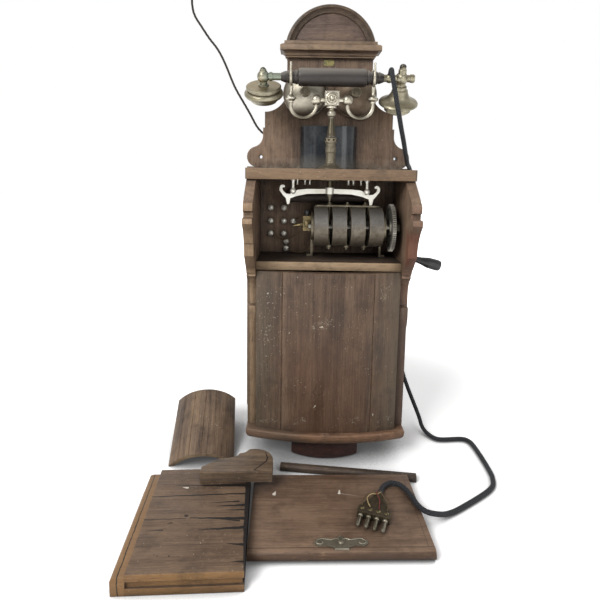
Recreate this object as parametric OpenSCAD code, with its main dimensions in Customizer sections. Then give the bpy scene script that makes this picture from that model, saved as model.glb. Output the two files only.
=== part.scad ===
// Magneto wall telephone of about 1900, opened up, with its loose wooden pieces laid before it.
// Millimetres. +Z is up, the front faces -Y, and the origin is the middle of the foot's underside.

/* [Case] */
// Width of the backboard across the ears and the lower part
board_w = 254; // [246:1:264]
// Thickness of the backboard
board_t = 18; // [16:0.5:20]
// Width of the box over its side panels
box_w = 236; // [230:1:240]
// Thickness of each side panel
side_t = 13; // [11:0.5:14]
// Height of the shelf's top face, which the column stands on
shelf_z = 434; // [430:1:440]
// Thickness of the shelf
shelf_t = 15.5; // [13:0.5:18]
// How far the shelf's front edge stands from the wall
shelf_d = 112; // [108:1:116]
// How far the shelf passes each side panel
shelf_over = 1.5; // [0.5:0.5:4]
// Height of the divider's top face, the floor of the magneto box
divider_z = 300.5; // [298:0.5:303]
// Thickness of the divider
divider_t = 12.5; // [10:0.5:15]
// How far the divider's front edge stands from the wall
divider_d = 100; // [96:1:103]
// Thickness of the bow-fronted bottom board
bottom_t = 17; // [14:1:20]
// How far the bottom board's bow stands from the wall at its middle
bottom_d = 126; // [122:1:130]
// How far the battery cover's bow stands from the wall at its middle
cover_d = 118; // [114:1:120]
// Thickness of the battery cover
cover_t = 11; // [9:0.5:13]
// Gap around the battery cover
cover_gap = 0.8; // [0.5:0.1:1.5]
// Width of the bow-fronted foot
foot_w = 100; // [92:1:108]
// Depth of the bow-fronted foot
foot_l = 90; // [84:1:94]
// Height of the bow-fronted foot
foot_h = 30; // [28:1:34]
// Distance of the foot's middle from the wall
foot_d = 66; // [62:1:70]

/* [Crest] */
// Height of the arch's centre
arch_z = 608; // [604:1:612]
// Outer radius of the arch moulding
arch_r = 69; // [66:1:72]
// Width of the arch moulding
arch_w = 12; // [10:0.5:14]
// Height of the cornice's lower edge
cornice_z = 600; // [597:1:601]
// Height of the cornice
cornice_h = 23.5; // [22:0.5:26]
// Width of the board's neck, under the cornice
neck_w = 131; // [126:1:134]
// Distance of each wall screw from the middle
ear_hole_x = 105.5; // [100:0.5:108]
// Height of the wall screws
ear_hole_z = 451; // [449:1:453]
// Diameter of the wall screw holes
ear_hole_dia = 5.5; // [4:0.5:7]

/* [Bells] */
// Distance of each gong from the middle
gong_x = 37.5; // [36.5:0.5:39]
// Height of the gongs' centres
gong_z = 546; // [542:1:549]
// Outer radius of a gong
gong_r = 33.5; // [31:0.5:34]
// Thickness of a gong's metal
gong_t = 1.8; // [1.4:0.2:2.4]
// Depth of a gong's dome, over its rim
gong_dome = 17; // [14:1:19]
// Diameter of the knob that clamps a gong
gong_knob_dia = 15; // [13:0.5:17]
// Half width of the black cover over the bell coils
bell_cover_hw = 44; // [40:1:48]
// Height of the black cover
bell_cover_h = 64; // [60:1:68]
// How far the black cover bulges from the board
bell_cover_d = 24; // [23:1:28]

/* [Cradle] */
// Distance of the cradle's column from the wall
cradle_d = 82; // [80:0.5:86]
// Height of the cradle's rosette, at its centre
rosette_z = 532; // [530:0.5:535]
// Side of the rosette block
rosette_w = 20; // [17:0.5:21]
// Distance of the hooks' outer legs from the middle
hook_x = 58; // [57:0.5:60]
// Radius of a hook's bend, at the middle of its rod
hook_r = 18; // [17:0.5:19]
// Diameter of a hook's rod
hook_dia = 5.2; // [4:0.2:6]
// Radius of the fork that takes the handle, at the middle of its rod
fork_r = 11.2; // [10.8:0.1:11.8]
// Diameter of the fork's prongs
prong_dia = 4.2; // [3:0.2:4.6]
// Diameter of the cradle's stem
stem_dia = 6.8; // [6:0.2:7.4]
// How far the cradle springs up when the handset is lifted
cradle_rise = 5; // [3:0.5:5.5]

/* [Magneto] */
// Height of the crank shaft and the armature
shaft_z = 349; // [347:1:351]
// Distance of the crank shaft from the wall
shaft_d = 74; // [73:0.5:76]
// Teeth on the drive gear
gear_teeth = 68; // [60:4:72]
// Teeth on the armature's pinion
pinion_teeth = 12; // [12:1:14]
// Gear module, pitch diameter over teeth
gear_module = 1; // [0.95:0.01:1.05]
// Width of one horseshoe magnet
magnet_w = 20; // [18:0.5:22]
// Gap between two magnets
magnet_gap = 6.6; // [5:0.2:8]
// Outer half height of a magnet
magnet_r = 29; // [28:0.5:32]
// Thickness of a magnet's bar
magnet_t = 9; // [8:0.5:10]
// Left end of the row of magnets
magnet_x = -21.6; // [-23:0.2:-18]
// Radius of the armature
armature_r = 13; // [11:0.5:13.5]

/* [Crank] */
// Diameter of the crank shaft
shaft_dia = 8; // [7:0.5:9]
// Length of the crank arm, from the shaft to the grip's pin
crank_len = 45; // [40:1:54]
// Length of the crank's grip
grip_len = 38; // [32:1:44]
// Diameter of the grip at its outer end
grip_dia = 16; // [13:0.5:18]
// How far the grip leans down from level, in degrees
grip_lean = 15; // [10:1:25]

/* [Handset] */
// Height of the handle's axis as it lies in the cradle
handle_z = 561; // [560:0.5:563]
// Diameter of the handle
handle_dia = 25; // [22:0.5:26]
// Half length of the handle's thick part
handle_hl = 47; // [44:1:49]
// Distance of the two capsules from the middle of the handle
capsule_x = 97; // [95:0.5:99]
// Radius of the receiver
receiver_r = 28; // [26:0.5:29]
// Radius of the transmitter's bell
bell_r = 28; // [26:0.5:29]
// How far the handset lies tipped in its cradle, in degrees
handset_tilt = 30; // [24:1:32]

/* [Battery] */
// Radius of a dry cell
cell_r = 31; // [28:0.5:33]
// Height of a dry cell
cell_h = 152; // [140:1:156]

/* [Loose pieces] */
// Width of the half-round cover
shell_w = 95; // [88:1:102]
// Rise of the half-round cover's arch
shell_rise = 23; // [18:1:26]
// Length of the half-round cover
shell_l = 128; // [122:1:128]
// Thickness of the half-round cover's staves
shell_t = 6; // [5:0.5:8]
// Width of the desk lid
lid_w = 212; // [202:1:212]
// Depth of the desk lid
lid_l = 137; // [128:1:138]
// Thickness of the desk lid
lid_t = 13; // [12:0.5:14]
// Width of the battery tray, with its batten
tray_w = 136; // [128:1:138]
// Depth of the battery tray
tray_l = 171; // [160:1:174]
// Thickness of each of the tray's three layers
tray_t = 8; // [7:0.5:9]
// Length of the loose strip
strip_l = 194; // [180:1:200]
// Side of the loose strip
strip_w = 9; // [8:0.5:11]

/* [Cords] */
// Diameter of the handset's cord
cord_dia = 6.5; // [5:0.5:7]
// Diameter of the line wire
wire_dia = 3.6; // [3:0.2:4]

/* [Hidden] */
$fn = 64;

// Colours
walnut = [0.36, 0.26, 0.19];
dark_walnut = [0.28, 0.20, 0.15];
pale_walnut = [0.52, 0.38, 0.25];
nickel = [0.74, 0.72, 0.66];
dull_brass = [0.55, 0.46, 0.28];
steel = [0.42, 0.41, 0.37];
black = [0.08, 0.08, 0.08];
copper = [0.60, 0.36, 0.20];

// Clearances
run_gap = 0.06;      // a shaft in its bearing
seat_gap = 0.3;      // a piece that lies on another and moves
clear_gap = 2;       // air between pieces that pass each other
eps = 0.01;

// The wall plane lies behind the foot's axis
wall_y = foot_d;

// Case
side_x = box_w / 2;                    // outer face of a side panel
inner_x = side_x - side_t;             // inner face of a side panel
bottom_z = foot_h;                     // underside of the bottom board
board_z = bottom_z;                    // lower edge of the backboard
bottom_top = bottom_z + bottom_t;
divider_under = divider_z - divider_t;
shelf_under = shelf_z - shelf_t;
bow_back = 270;                        // how far the bows' common centre lies behind the wall
slope_top_d = shelf_d - 6;             // where the side panels' slope starts
low_d = divider_d - 8;                 // front edge of the side panels beside the cover
nose_d = 160;                          // front of the side panels' nose
cover_hw = inner_x - cover_gap;        // half width of the battery cover
cover_low = bottom_top;               // the cover stands on the bottom board
cover_high = divider_under - cover_gap;

// Backboard outline
shoulder_x = 99.3;                     // half width of the board's shoulders
waist_x = shoulder_x + 2.7;            // half width below the shoulders' step
step_z = shelf_z + 62;                 // height of that step
shoulder_r = shoulder_x - neck_w / 2;  // hollow between the shoulders and the neck
shoulder_z = step_z + 24;
ear_r = 16;
ear_x = board_w / 2 - ear_r;
hollow_r = 18;                         // hollow between the waist and the ear
hollow_z = ear_hole_z + sqrt((hollow_r + ear_r) ^ 2 - (waist_x + hollow_r - ear_x) ^ 2);

// Crest
crest_d = 22;                          // thickness of the crest's panel
cornice_top = cornice_z + cornice_h;
arch_in = arch_r - arch_w;

// Bells
gong_rim_d = board_t + 8;              // how far a gong's rim stands from the wall
gong_sphere = (gong_r ^ 2 + gong_dome ^ 2) / (2 * gong_dome);
gong_rim = 3;                          // straight rim below the dome
gong_top_d = gong_rim_d + gong_rim + gong_dome;
gong_hole_r = 3;
post_r = 4.5;
gong_centre_d = gong_top_d - gong_sphere;   // centre of the dome's sphere
gong_seat_d = gong_centre_d + sqrt((gong_sphere - gong_t) ^ 2 - post_r ^ 2);
knob_seat_d = gong_centre_d + sqrt(gong_sphere ^ 2 - gong_hole_r ^ 2);
clapper_pivot_z = shelf_z + 48;
clapper_d = board_t + 12;
clapper_ball_z = gong_z - 13;
clapper_ball_r = 3;
pivot_r = 1.5;
cheek_out = 6;                         // the clapper's bearing cheeks, before and behind it
coil_x = 17;
coil_r = 6.4;
coil_d = board_t + 7.5;
coil_h = 34;
bell_cover_t = 1.5;

// Cradle
flange_h = 12;
flange_r = 17.5;
tube_r = 7.8;
tube_bore_r = 6;
tube_top = shelf_z + 36;
ring_h = 9;
ring_top = tube_top + ring_h;
stem_r = stem_dia / 2;
collar_r = 5.6;                        // collar on the stem that the spring lifts
collar_z = tube_top - 10;
spring_r = 4.9;
spring_wire = 1;
spring_low = shelf_z + flange_h;
spring_turns = 5;
ball_x = hook_x - 2 * hook_r;
ball_r = 7.5;
bend_z = rosette_z - 9;                // centre of a hook's bend
bar_z = shelf_z - 32;                  // middle of the switch bar
bar_t = 3;
bar_hh = 3.2;                          // half height of the bar at its middle
stud_x = 53;                           // the ball studs before the bar
stud_r = 4.5;

// Magneto
gear_pitch_r = gear_teeth * gear_module / 2;
pinion_pitch_r = pinion_teeth * gear_module / 2;
armature_d = shaft_d - gear_pitch_r - pinion_pitch_r;
magnet_count = 4;
magnet_step = magnet_w + magnet_gap;
magnet_end = magnet_x + magnet_count * magnet_step - magnet_gap;
magnet_bend_d = shaft_d - 4;           // centre of the magnets' bend
magnet_back_d = board_t + 4;           // where the magnets' legs end
plate_t = 3;
left_plate_x = magnet_x - 1 - plate_t;
right_plate_x = magnet_end + 1;
gear_t = 5;
gear_x = right_plate_x + plate_t + 7;
shoe_bore_r = armature_r + 0.8;
bush_flange_r = 9;
bush_r = 6.5;
bush_t = 2.5;

// Crank
arm_x = side_x + bush_t + 1;           // inner face of the crank arm
arm_t = 6;
arm_r = 7;
pin_r = 2.5;
pin_z = shaft_z - crank_len;

// Induction coil
coil_z = shaft_z + magnet_r + 12.5;
coil_axis_d = board_t + 26;
induction_r = 8;
cheek_r = 9.4;
cheek_t = 5;
induction_x0 = -64;
induction_x1 = 59;

// Terminals on the backboard, inside the magneto box: column and row
terminal_r = 4.2;
terminals = [[-89, 372], [-68, 372], [-89, 351], [-68, 351], [-53, 351], [-89, 331], [-68, 331],
    [-64, 318], [-64, 307]];

// Handset
arm_start = 72;                        // where a capsule's metal arm leaves the handle
arm_tube_r = 5;
neck_r = fork_r - prong_dia / 2 - seat_gap;   // the handle where it lies in the forks
receiver_ball_r = 8.7;
bell_ball_r = 9;
gland_x = 80;                          // barrel on the transmitter's arm that the cord leaves
gland_r = 6.5;

// Battery
cell_x = 48;
cell_d = board_t + 4 + cell_r;
cell_post_r = 3;
cell_post_h = 12;

// Loose pieces on the floor: middle and turn of each
shell_at = [-182, -127.2, 0];              // the middle of its near end
shell_turn = 6.6;
shell_lean = 18.3;                         // its far end leans on the wall
shell_r = ((shell_w / 2) ^ 2 + shell_rise ^ 2) / (2 * shell_rise);
shell_staves = 6;
tray_at = [-167, -259, 0];
tray_turn = 3.5;
batten_w = 14;
lid_turn = 1.7;
lid_beside = [1.67349, 17.70408, 0];       // from the tray's right edge to the lid's left, at their middles
lid_at = tray_at + tray_w / 2 * [cos(tray_turn), sin(tray_turn), 0] + lid_beside
    + lid_w / 2 * [cos(lid_turn), sin(lid_turn), 0];
strip_behind = [22.5, 19.5, 0];            // from the lid's back edge, at its middle
strip_at = lid_at + [0, lid_l / 2, 0] + strip_behind;
strip_turn = -6.3;
corbel_at = [-121, -200, 3 * tray_t];
corbel_w = 95;
corbel_l = 54;
corbel_t = 14;
plug_at = [68, -206.5, lid_t];
plug_turn = -19.5;
plug_l = 49;
plug_tail_r = 5;
plug_t = 9;
pin_pitch = 10;
pin_l = 20;

// Handset cord, through the points of its middle line: the stretch that the handset carries
cord_upper_route = [[80, -82, 561], [80, -91, 569.5], [79.5, -101, 568.5], [79.5, -108, 560], [81, -113, 548],
    [83, -116, 535], [86, -116.5, 520], [90, -114, 505], [94.5, -108, 490]];
// and the stretch that hangs beside the box and lies on the floor and the lid
cord_lower_route = [[94.5, -108, 490], [100, -99, 475], [106, -86, 460], [112, -70, 449], [118, -51, 442],
    [124.5, -34, 437], [131, -19, 424], [133, -10, 390], [133, -9, 265], [133, -9, 130], [135, -10, 95],
    [162, -20, 26], [167, -28, 10], [174, -42, 4.2], [188, -56, 3.5], [223, -54, 3.5], [234, -59, 3.5],
    [238, -74, 3.5], [239, -122, 3.5], [236, -155, 3.5], [222, -179, 3.5], [172, -215, 3.5], [150, -228, 5],
    [134, -238, 12], [120, -240, 16.5], [112, -229, 16.5], [106, -207, 16.5], [98, -191, 16.5],
    [86, -186, 16.5], [74, -194, 16.5], [66.9, -209.5, 16.5]];
// Line wire, from the board's edge to the eye on the wall
line_route = [[-97, -9, 485], [-104, -9, 489], [-113, -9, 499], [-123, -9, 517], [-134, -9, 535.5],
    [-145, -9, 554], [-152, -9, 569], [-159, -9, 586], [-167, -9, 603], [-175, -9, 616], [-186, -9, 629.5],
    [-198, -9, 647], [-207, -9, 661], [-211, -9, 675], [-212, -9, 700]];
wire_eye_at = [-212, 0, 700];
// Short leads inside the magneto box
lead_dia = 2;
leads = [
    [[-87, -22.5, 331], [-76, -27, 325], [-66, -31, 323], [-54, -38, 328], [-43, -48, 337], [-33, -54, 345]],
    [[-51, -22.5, 351], [-47, -30, 356], [-43, -40, 360], [-39, -50, 359], [-33, -54, 357]],
    [[-62, -22.5, 307], [-52, -28, 304], [-44, -34, 303], [-34, -40, 306], [-25, -44, 313]]];

// Wall frame: y is 0 on the wall and grows negative towards the front
module at_wall() { translate([0, wall_y, 0]) children(); }
// A profile in x and z, standing off the wall from depth d by thickness t
module slab(d, t) { translate([0, -d, 0]) rotate([90, 0, 0]) linear_extrude(t) children(); }
// A profile in y and z, from x along +X by thickness t
module panel(x, t) { translate([x, 0, 0]) rotate([90, 0, 90]) linear_extrude(t) children(); }
// A turned form on a vertical axis, at depth d
module turned_up(x, d, z) { translate([x, -d, z]) rotate_extrude() children(); }
// A turned form on an axis that points to the front; its profile's height is depth
module turned_out(x, z) { translate([x, 0, z]) rotate([90, 0, 0]) rotate_extrude() children(); }
// A turned form along +X
module turned_across(x, d, z) { translate([x, -d, z]) rotate([0, 90, 0]) rotate_extrude() children(); }
module both_sides() { for (s = [0, 1]) mirror([s, 0, 0]) children(); }
module rod(from, to, r) {
    v = to - from;
    translate(from) rotate([0, acos(v.z / norm(v)), atan2(v.y, v.x)]) cylinder(h = norm(v), r = r);
}

function arc(c, r, a0, a1, n) = [for (i = [0 : n]) let (a = a0 + (a1 - a0) * i / n) c + r * [cos(a), sin(a)]];
function unit(v) = v / norm(v);
function catmull(a, b, c, d, t) =
    0.5 * (2 * b + (c - a) * t + (2 * a - 5 * b + 4 * c - d) * t ^ 2 + (3 * b - a - 3 * c + d) * t ^ 3);
function smooth(p, n) = concat([for (i = [0 : len(p) - 2]) for (k = [0 : n - 1])
    catmull(p[max(i - 1, 0)], p[i], p[i + 1], p[min(i + 2, len(p) - 1)], k / n)], [p[len(p) - 1]]);
function tangents(p) = [for (i = [0 : len(p) - 1]) unit(p[min(i + 1, len(p) - 1)] - p[max(i - 1, 0)])];
function sideways(t, n, i = 0) = i == len(t) ? [] :
    let (m = unit(n - (n * t[i]) * t[i])) concat([m], sideways(t, m, i + 1));

// One round tube swept along points, or the stretch of it between two of its rings
module tube(p, r, sides, first = 0, last = -1) {
    end = last < 0 ? len(p) - 1 : last;
    t = tangents(p);
    n = sideways(t, abs(t[0].z) > 0.9 ? [1, 0, 0] : [0, 0, 1]);
    rings = end - first + 1;
    points = [for (i = [first : end]) for (k = [0 : sides - 1])
        let (a = 360 * k / sides) p[i] + r * (cos(a) * n[i] + sin(a) * cross(t[i], n[i]))];
    walls = [for (i = [0 : rings - 2]) for (k = [0 : sides - 1])
        let (a = i * sides + k, b = i * sides + (k + 1) % sides)
        each [[a, a + sides, b + sides], [a, b + sides, b]]];
    caps = [[for (k = [0 : sides - 1]) k], [for (k = [sides - 1 : -1 : 0]) (rings - 1) * sides + k]];
    polyhedron(points, concat(walls, caps), convexity = 6);
}

// Case

module board_outline() {
    half = board_w / 2;
    corner = 12;
    translate([-half, board_z + corner]) square([board_w, shelf_z - board_z - corner + 2]);
    translate([corner - half, board_z]) square([board_w - 2 * corner, corner + 1]);
    both_sides() {
        translate([half - corner, board_z + corner]) circle(corner);
        translate([ear_x, ear_hole_z]) circle(ear_r);
        difference() {
            polygon([[0, shelf_z], [ear_x, shelf_z], [ear_x, ear_hole_z], [waist_x + hollow_r, hollow_z],
                [waist_x, hollow_z], [waist_x, step_z], [0, step_z]]);
            translate([waist_x + hollow_r, hollow_z]) circle(hollow_r);
        }
        difference() {
            translate([-eps, step_z - 1]) square([shoulder_x, shoulder_z + shoulder_r - step_z]);
            translate([shoulder_x, shoulder_z + shoulder_r]) circle(shoulder_r);
        }
    }
    translate([-neck_w / 2, step_z]) square([neck_w, cornice_z + 4 - step_z]);
}

module backboard() {
    color(walnut) at_wall() difference() {
        slab(0, board_t) board_outline();
        for (s = [-1, 1]) translate([s * ear_hole_x, eps, ear_hole_z]) rotate([90, 0, 0])
            cylinder(h = board_t + 2 * eps, d = ear_hole_dia);
    }
}

// Half disc over the cornice, recessed inside the arch
module crest_panel() {
    color(walnut) at_wall() slab(0, crest_d) difference() {
        translate([0, arch_z]) circle(arch_in);
        translate([-arch_r, arch_z - arch_r]) square([2 * arch_r, arch_r + cornice_top - arch_z]);
    }
}

module crest_arch() {
    section = [[arch_in, 0], [arch_r, 0], [arch_r, 24], [arch_r - 2, 28], [arch_r - 5, 29], [arch_r - 8, 26],
        [arch_in + 2, 25], [arch_in, 24]];
    color(dark_walnut) at_wall() difference() {
        turned_out(0, arch_z) polygon(section);
        translate([-arch_r - 1, -arch_r, arch_z - arch_r - 1])
            cube([2 * arch_r + 2, arch_r + 1, arch_r + 1 + cornice_top - arch_z]);
    }
}

// Cornice with mitred returns: the same moulding on the front and on both sides
module cornice() {
    rise = [0, 2.5, 2.5, 6, 8.5, 9, 9, 16, 17.5, 19, 20, cornice_h];
    reach = [1, 1, 3, 3.8, 7, 9.5, 10.5, 10.5, 9, 5.5, 4.5, 4.5];
    edge = [for (i = [0 : len(rise) - 1]) [reach[i], cornice_z + rise[i]]];
    half = neck_w / 2;
    front = crest_d + 2;
    color(dark_walnut) at_wall() difference() {
        intersection() {
            slab(0, front + 20) polygon(concat([for (p = edge) [half + p.x, p.y]],
                [for (i = [len(edge) - 1 : -1 : 0]) [-half - edge[i].x, edge[i].y]]));
            panel(-half - 20, neck_w + 40)
                polygon(concat([[0, cornice_z]], [for (p = edge) [-front - p.x, p.y]], [[0, cornice_top]]));
        }
        slab(-eps, board_t + eps) translate([-half, cornice_z - 1]) square([neck_w, 5]);
    }
}

module shelf() {
    half = side_x + shelf_over;
    color(pale_walnut) at_wall() difference() {
        translate([-half, -shelf_d, shelf_under]) cube([2 * half, shelf_d - board_t, shelf_t]);
        for (s = [-1, 1]) translate([s * half, -shelf_d, shelf_under - 1]) rotate([0, 0, 45])
            cube([4, 4, 2 * shelf_t + 4], center = true);
        translate([0, -cradle_d, shelf_under - 1]) cylinder(h = shelf_t + 2, r = stem_r + 1);
    }
}

// Side panel: a desk slope, a stepped nose and a long sweep back to the battery cover
module side_profile() {
    nose_z = divider_z + 65;
    drop_z = divider_under - 54;
    polygon(concat(
        [[-board_t, bottom_top], [-board_t, shelf_under], [-slope_top_d, shelf_under]],
        arc([-nose_d + 14, nose_z + 18], 6, 118, 180, 6),
        [[-nose_d + 8, nose_z + 12], [-nose_d + 14, nose_z + 10], [-nose_d + 14, nose_z + 3]],
        arc([-nose_d + 3, nose_z], 3, 90, 180, 4),
        [[-nose_d, nose_z - 4]],
        arc([-nose_d - 36, divider_z + 12], 60, 51, 2, 8),
        arc([-low_d - 44, divider_z - 28], 30, 52, 24, 6),
        [[-low_d - 14, divider_under - 2], [-low_d - 14, divider_under - 6]],
        arc([-low_d - 30, divider_under - 34], 30, 60, 5, 8),
        [[-low_d, drop_z + 2]],
        arc([-low_d - 3, drop_z - 3], 3.5, 90, 180, 4),
        [[-low_d - 6.5, drop_z - 18], [-low_d, drop_z - 37], [-low_d, bottom_top]]));
}

module left_side() { color(walnut) at_wall() panel(-side_x, side_t) side_profile(); }

module right_side() {
    color(walnut) at_wall() difference() {
        panel(inner_x, side_t) side_profile();
        translate([inner_x - 1, -shaft_d, shaft_z]) rotate([0, 90, 0]) cylinder(h = side_t + 2, r = bush_r);
    }
}

module divider() {
    color(pale_walnut) at_wall() translate([-inner_x, -divider_d, divider_under])
        cube([2 * inner_x, divider_d - board_t, divider_t]);
}

module bottom_board() {
    nose_r = 12;
    bow_r = bow_back + bottom_d;
    half = side_x + 1;
    // Flat on top, and rounded under its outer edge
    module edge(reach, depth) {
        polygon(concat([[reach - depth, 0]], arc([reach - nose_r, nose_r], nose_r, 270, 360, 8),
            [[reach, bottom_t - 1.5], [reach - 1.5, bottom_t], [reach - depth, bottom_t]]));
    }
    color(dark_walnut) at_wall() intersection() {
        translate([0, bow_back, bottom_z]) rotate_extrude($fn = 180) edge(bow_r, 150);
        slab(board_t, bottom_d) translate([0, bottom_z]) both_sides() edge(half, half + 1);
    }
}

// Bow-fronted block, eased round its lower edge
module foot() {
    bow_r = 100;
    ease = 4;
    module outline(inset) {
        intersection() {
            translate([0, bow_r - foot_l / 2]) circle(bow_r - inset, $fn = 180);
            square([foot_w - 2 * inset, foot_l - 2 * inset], center = true);
        }
    }
    color(dark_walnut) hull() {
        linear_extrude(1) outline(ease);
        translate([0, 0, ease]) linear_extrude(foot_h - ease) outline(0);
    }
}

// Bowed front of planks over the battery box
module battery_cover() {
    bow_r = bow_back + cover_d;
    groove_x = 66;
    color(walnut) at_wall() difference() {
        intersection() {
            translate([0, bow_back, cover_low]) rotate_extrude($fn = 180)
                translate([bow_r - cover_t, 0]) square([cover_t, cover_high - cover_low]);
            translate([-cover_hw, -cover_d - 1, cover_low])
                cube([2 * cover_hw, cover_d, cover_high - cover_low]);
        }
        for (s = [-1, 1])
            translate([s * groove_x, bow_back - sqrt(bow_r ^ 2 - groove_x ^ 2), cover_low - 1])
            rotate([0, 0, 45]) cube([1.6, 1.6, 2 * (cover_high - cover_low + 2)], center = true);
    }
}

module dry_cells() {
    color([0.42, 0.36, 0.24]) at_wall() for (s = [-1, 1]) turned_up(s * cell_x, cell_d, bottom_top)
        polygon([[0, 0], [cell_r, 0], [cell_r, cell_h], [cell_r - 3, cell_h], [cell_r - 3, cell_h - 4],
            [9, cell_h - 4], [9, cell_h + 3], [cell_post_r, cell_h + 3], [cell_post_r, cell_h + cell_post_h],
            [0, cell_h + cell_post_h]]);
}

// Bells

module gong_profile() {
    dome_d = gong_rim_d + gong_rim;
    intersection() {
        translate([0, gong_centre_d]) difference() {
            circle(gong_sphere, $fn = 128);
            circle(gong_sphere - gong_t, $fn = 128);
        }
        translate([gong_hole_r, dome_d]) square([gong_r, gong_dome + 1]);
    }
    translate([gong_r - gong_t, gong_rim_d]) square([gong_t, gong_rim + 0.6]);
}

module gong_left() { color(nickel) at_wall() turned_out(-gong_x, gong_z) gong_profile(); }
module gong_right() { color([0.44, 0.34, 0.26]) at_wall() turned_out(gong_x, gong_z) gong_profile(); }

// Post, shank and clamping knob of each gong, with the gong between them
module gong_screws() {
    knob_r = gong_knob_dia / 2;
    top = knob_seat_d + 8;
    color(dull_brass) at_wall() for (s = [-1, 1]) turned_out(s * gong_x, gong_z)
        polygon([[0, board_t], [post_r, board_t], [post_r, gong_seat_d], [gong_hole_r, gong_seat_d],
            [gong_hole_r, knob_seat_d], [knob_r - 1, knob_seat_d], [knob_r, knob_seat_d + 1],
                [knob_r, top - 1],
            [knob_r - 1, top], [knob_r - 2.5, top], [knob_r - 2.5, top - 1], [2.4, top - 1], [2.4, top + 0.4],
            [0, top + 0.4]]);
}

// Japanned half-round tin over the bell's coils, with a slot for the clapper
module bell_cover() {
    round_r = 26;
    module plan(inset) {
        flat = bell_cover_hw - round_r;
        deep = bell_cover_d - inset;
        intersection() {
            union() {
                for (s = [-1, 1]) translate([s * flat, round_r - bell_cover_d]) circle(round_r - inset);
                translate([-flat, -deep]) square([2 * flat, deep]);
            }
            translate([-bell_cover_hw, -bell_cover_d - 1]) square([2 * bell_cover_hw, bell_cover_d + 1]);
        }
    }
    color(black) at_wall() translate([0, -board_t, shelf_z]) difference() {
        linear_extrude(bell_cover_h) plan(0);
        translate([0, 0, -eps]) linear_extrude(bell_cover_h - bell_cover_t) plan(bell_cover_t);
        translate([-9, board_t - clapper_d - 4, bell_cover_h - 3]) cube([18, 8, 4]);
    }
}

// Two bobbins on an iron yoke, with a pole tip each, and the cheeks that carry the clapper's pin
module bell_coils() {
    yoke_h = 4;
    cheek_hw = 4;
    pole_h = clapper_pivot_z + 1 - shelf_z - yoke_h;
    color(copper) at_wall() {
        translate([-coil_x - coil_r, -coil_d - coil_r, shelf_z])
            cube([2 * (coil_x + coil_r), 2 * coil_r, yoke_h]);
        for (s = [-1, 1]) turned_up(s * coil_x, coil_d, shelf_z + yoke_h)
            polygon([[0, 0], [coil_r, 0], [coil_r, 1.5], [coil_r - 0.8, 1.5], [coil_r - 0.8, coil_h - 1.5],
                [coil_r, coil_h - 1.5], [coil_r, coil_h], [2.5, coil_h], [2.5, pole_h], [0, pole_h]]);
        translate([-cheek_hw, -clapper_d - cheek_out, shelf_z]) cube([2 * cheek_hw, 2 * cheek_out, yoke_h]);
        difference() {
            for (d = [clapper_d - cheek_out, clapper_d + cheek_out - 2])
                translate([-cheek_hw, -d - 2, shelf_z])
                    cube([2 * cheek_hw, 2, clapper_pivot_z + 2.6 - shelf_z]);
            translate([0, -clapper_d + cheek_out + 1, clapper_pivot_z]) rotate([90, 0, 0])
                cylinder(h = 2 * cheek_out + 2, r = pivot_r + run_gap);
        }
    }
}

// Rocking armature, its pin, and the rod with the ball that strikes the gongs
module clapper() {
    color(steel) at_wall() {
        translate([-coil_x - 3, -clapper_d - 2.5, clapper_pivot_z + 3.6]) cube([2 * coil_x + 6, 5, 2]);
        rod([0, -clapper_d, clapper_pivot_z - 2], [0, -clapper_d, clapper_ball_z], 1.2);
        translate([0, -clapper_d, clapper_ball_z]) sphere(clapper_ball_r, $fn = 32);
        translate([0, -clapper_d + cheek_out + 0.5, clapper_pivot_z]) rotate([90, 0, 0])
            cylinder(h = 2 * cheek_out + 1, r = pivot_r);
    }
}

// Cradle

module column_flange() {
    color(dull_brass) at_wall() turned_up(0, cradle_d, shelf_z) polygon(concat(
        [[stem_r + 0.6, 0], [flange_r, 0], [flange_r, 1.5]], arc([flange_r + 8, 24], 24, 250, 222, 6),
        [[tube_r - 0.5, flange_h], [stem_r + 0.6, flange_h]]));
}

module column_tube() {
    color(dull_brass) at_wall() turned_up(0, cradle_d, shelf_z)
        polygon([[tube_bore_r, flange_h], [tube_r - 0.8, flange_h], [tube_r - 0.8, flange_h + 10],
            [tube_r, flange_h + 11], [tube_r, flange_h + 18], [tube_r - 0.8, flange_h + 19],
            [tube_r - 0.8, tube_top - shelf_z], [tube_bore_r, tube_top - shelf_z]]);
}

// Ring nut with spanner holes round its edge
module column_ring() {
    holes = 8;
    color(dull_brass) at_wall() difference() {
        turned_up(0, cradle_d, tube_top)
            polygon([[stem_r + run_gap, 0], [tube_r, 0], [tube_r + 0.8, 1.5], [tube_r + 0.8, ring_h - 2],
                [tube_r, ring_h - 1], [tube_r - 3, ring_h], [stem_r + run_gap, ring_h]]);
        for (i = [0 : holes - 1]) translate([0, -cradle_d, tube_top + ring_h / 2])
            rotate([90, 0, 360 * (i + 0.5) / holes]) translate([0, 0, tube_r - 3])
                cylinder(h = 6, d = 3, $fn = 24);
    }
}

spring_high = collar_z - seat_gap;
spring_rings = 8;
spring_path = [for (i = [0 : spring_turns * spring_rings])
    let (a = 360 * i / spring_rings, end = spring_wire / 2 + 0.1)
    [spring_r * cos(a), spring_r * sin(a),
        spring_low + end + (spring_high - spring_low - 2 * end) * i / (spring_turns * spring_rings)]];
echo(spring_gap = min([for (i = [0 : len(spring_path) - 1 - spring_rings])
    norm(spring_path[i + spring_rings] - spring_path[i]) - spring_wire]));

module cradle_spring() {
    color(steel) at_wall() translate([0, -cradle_d, 0]) tube(spring_path, spring_wire / 2, 6);
}

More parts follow.
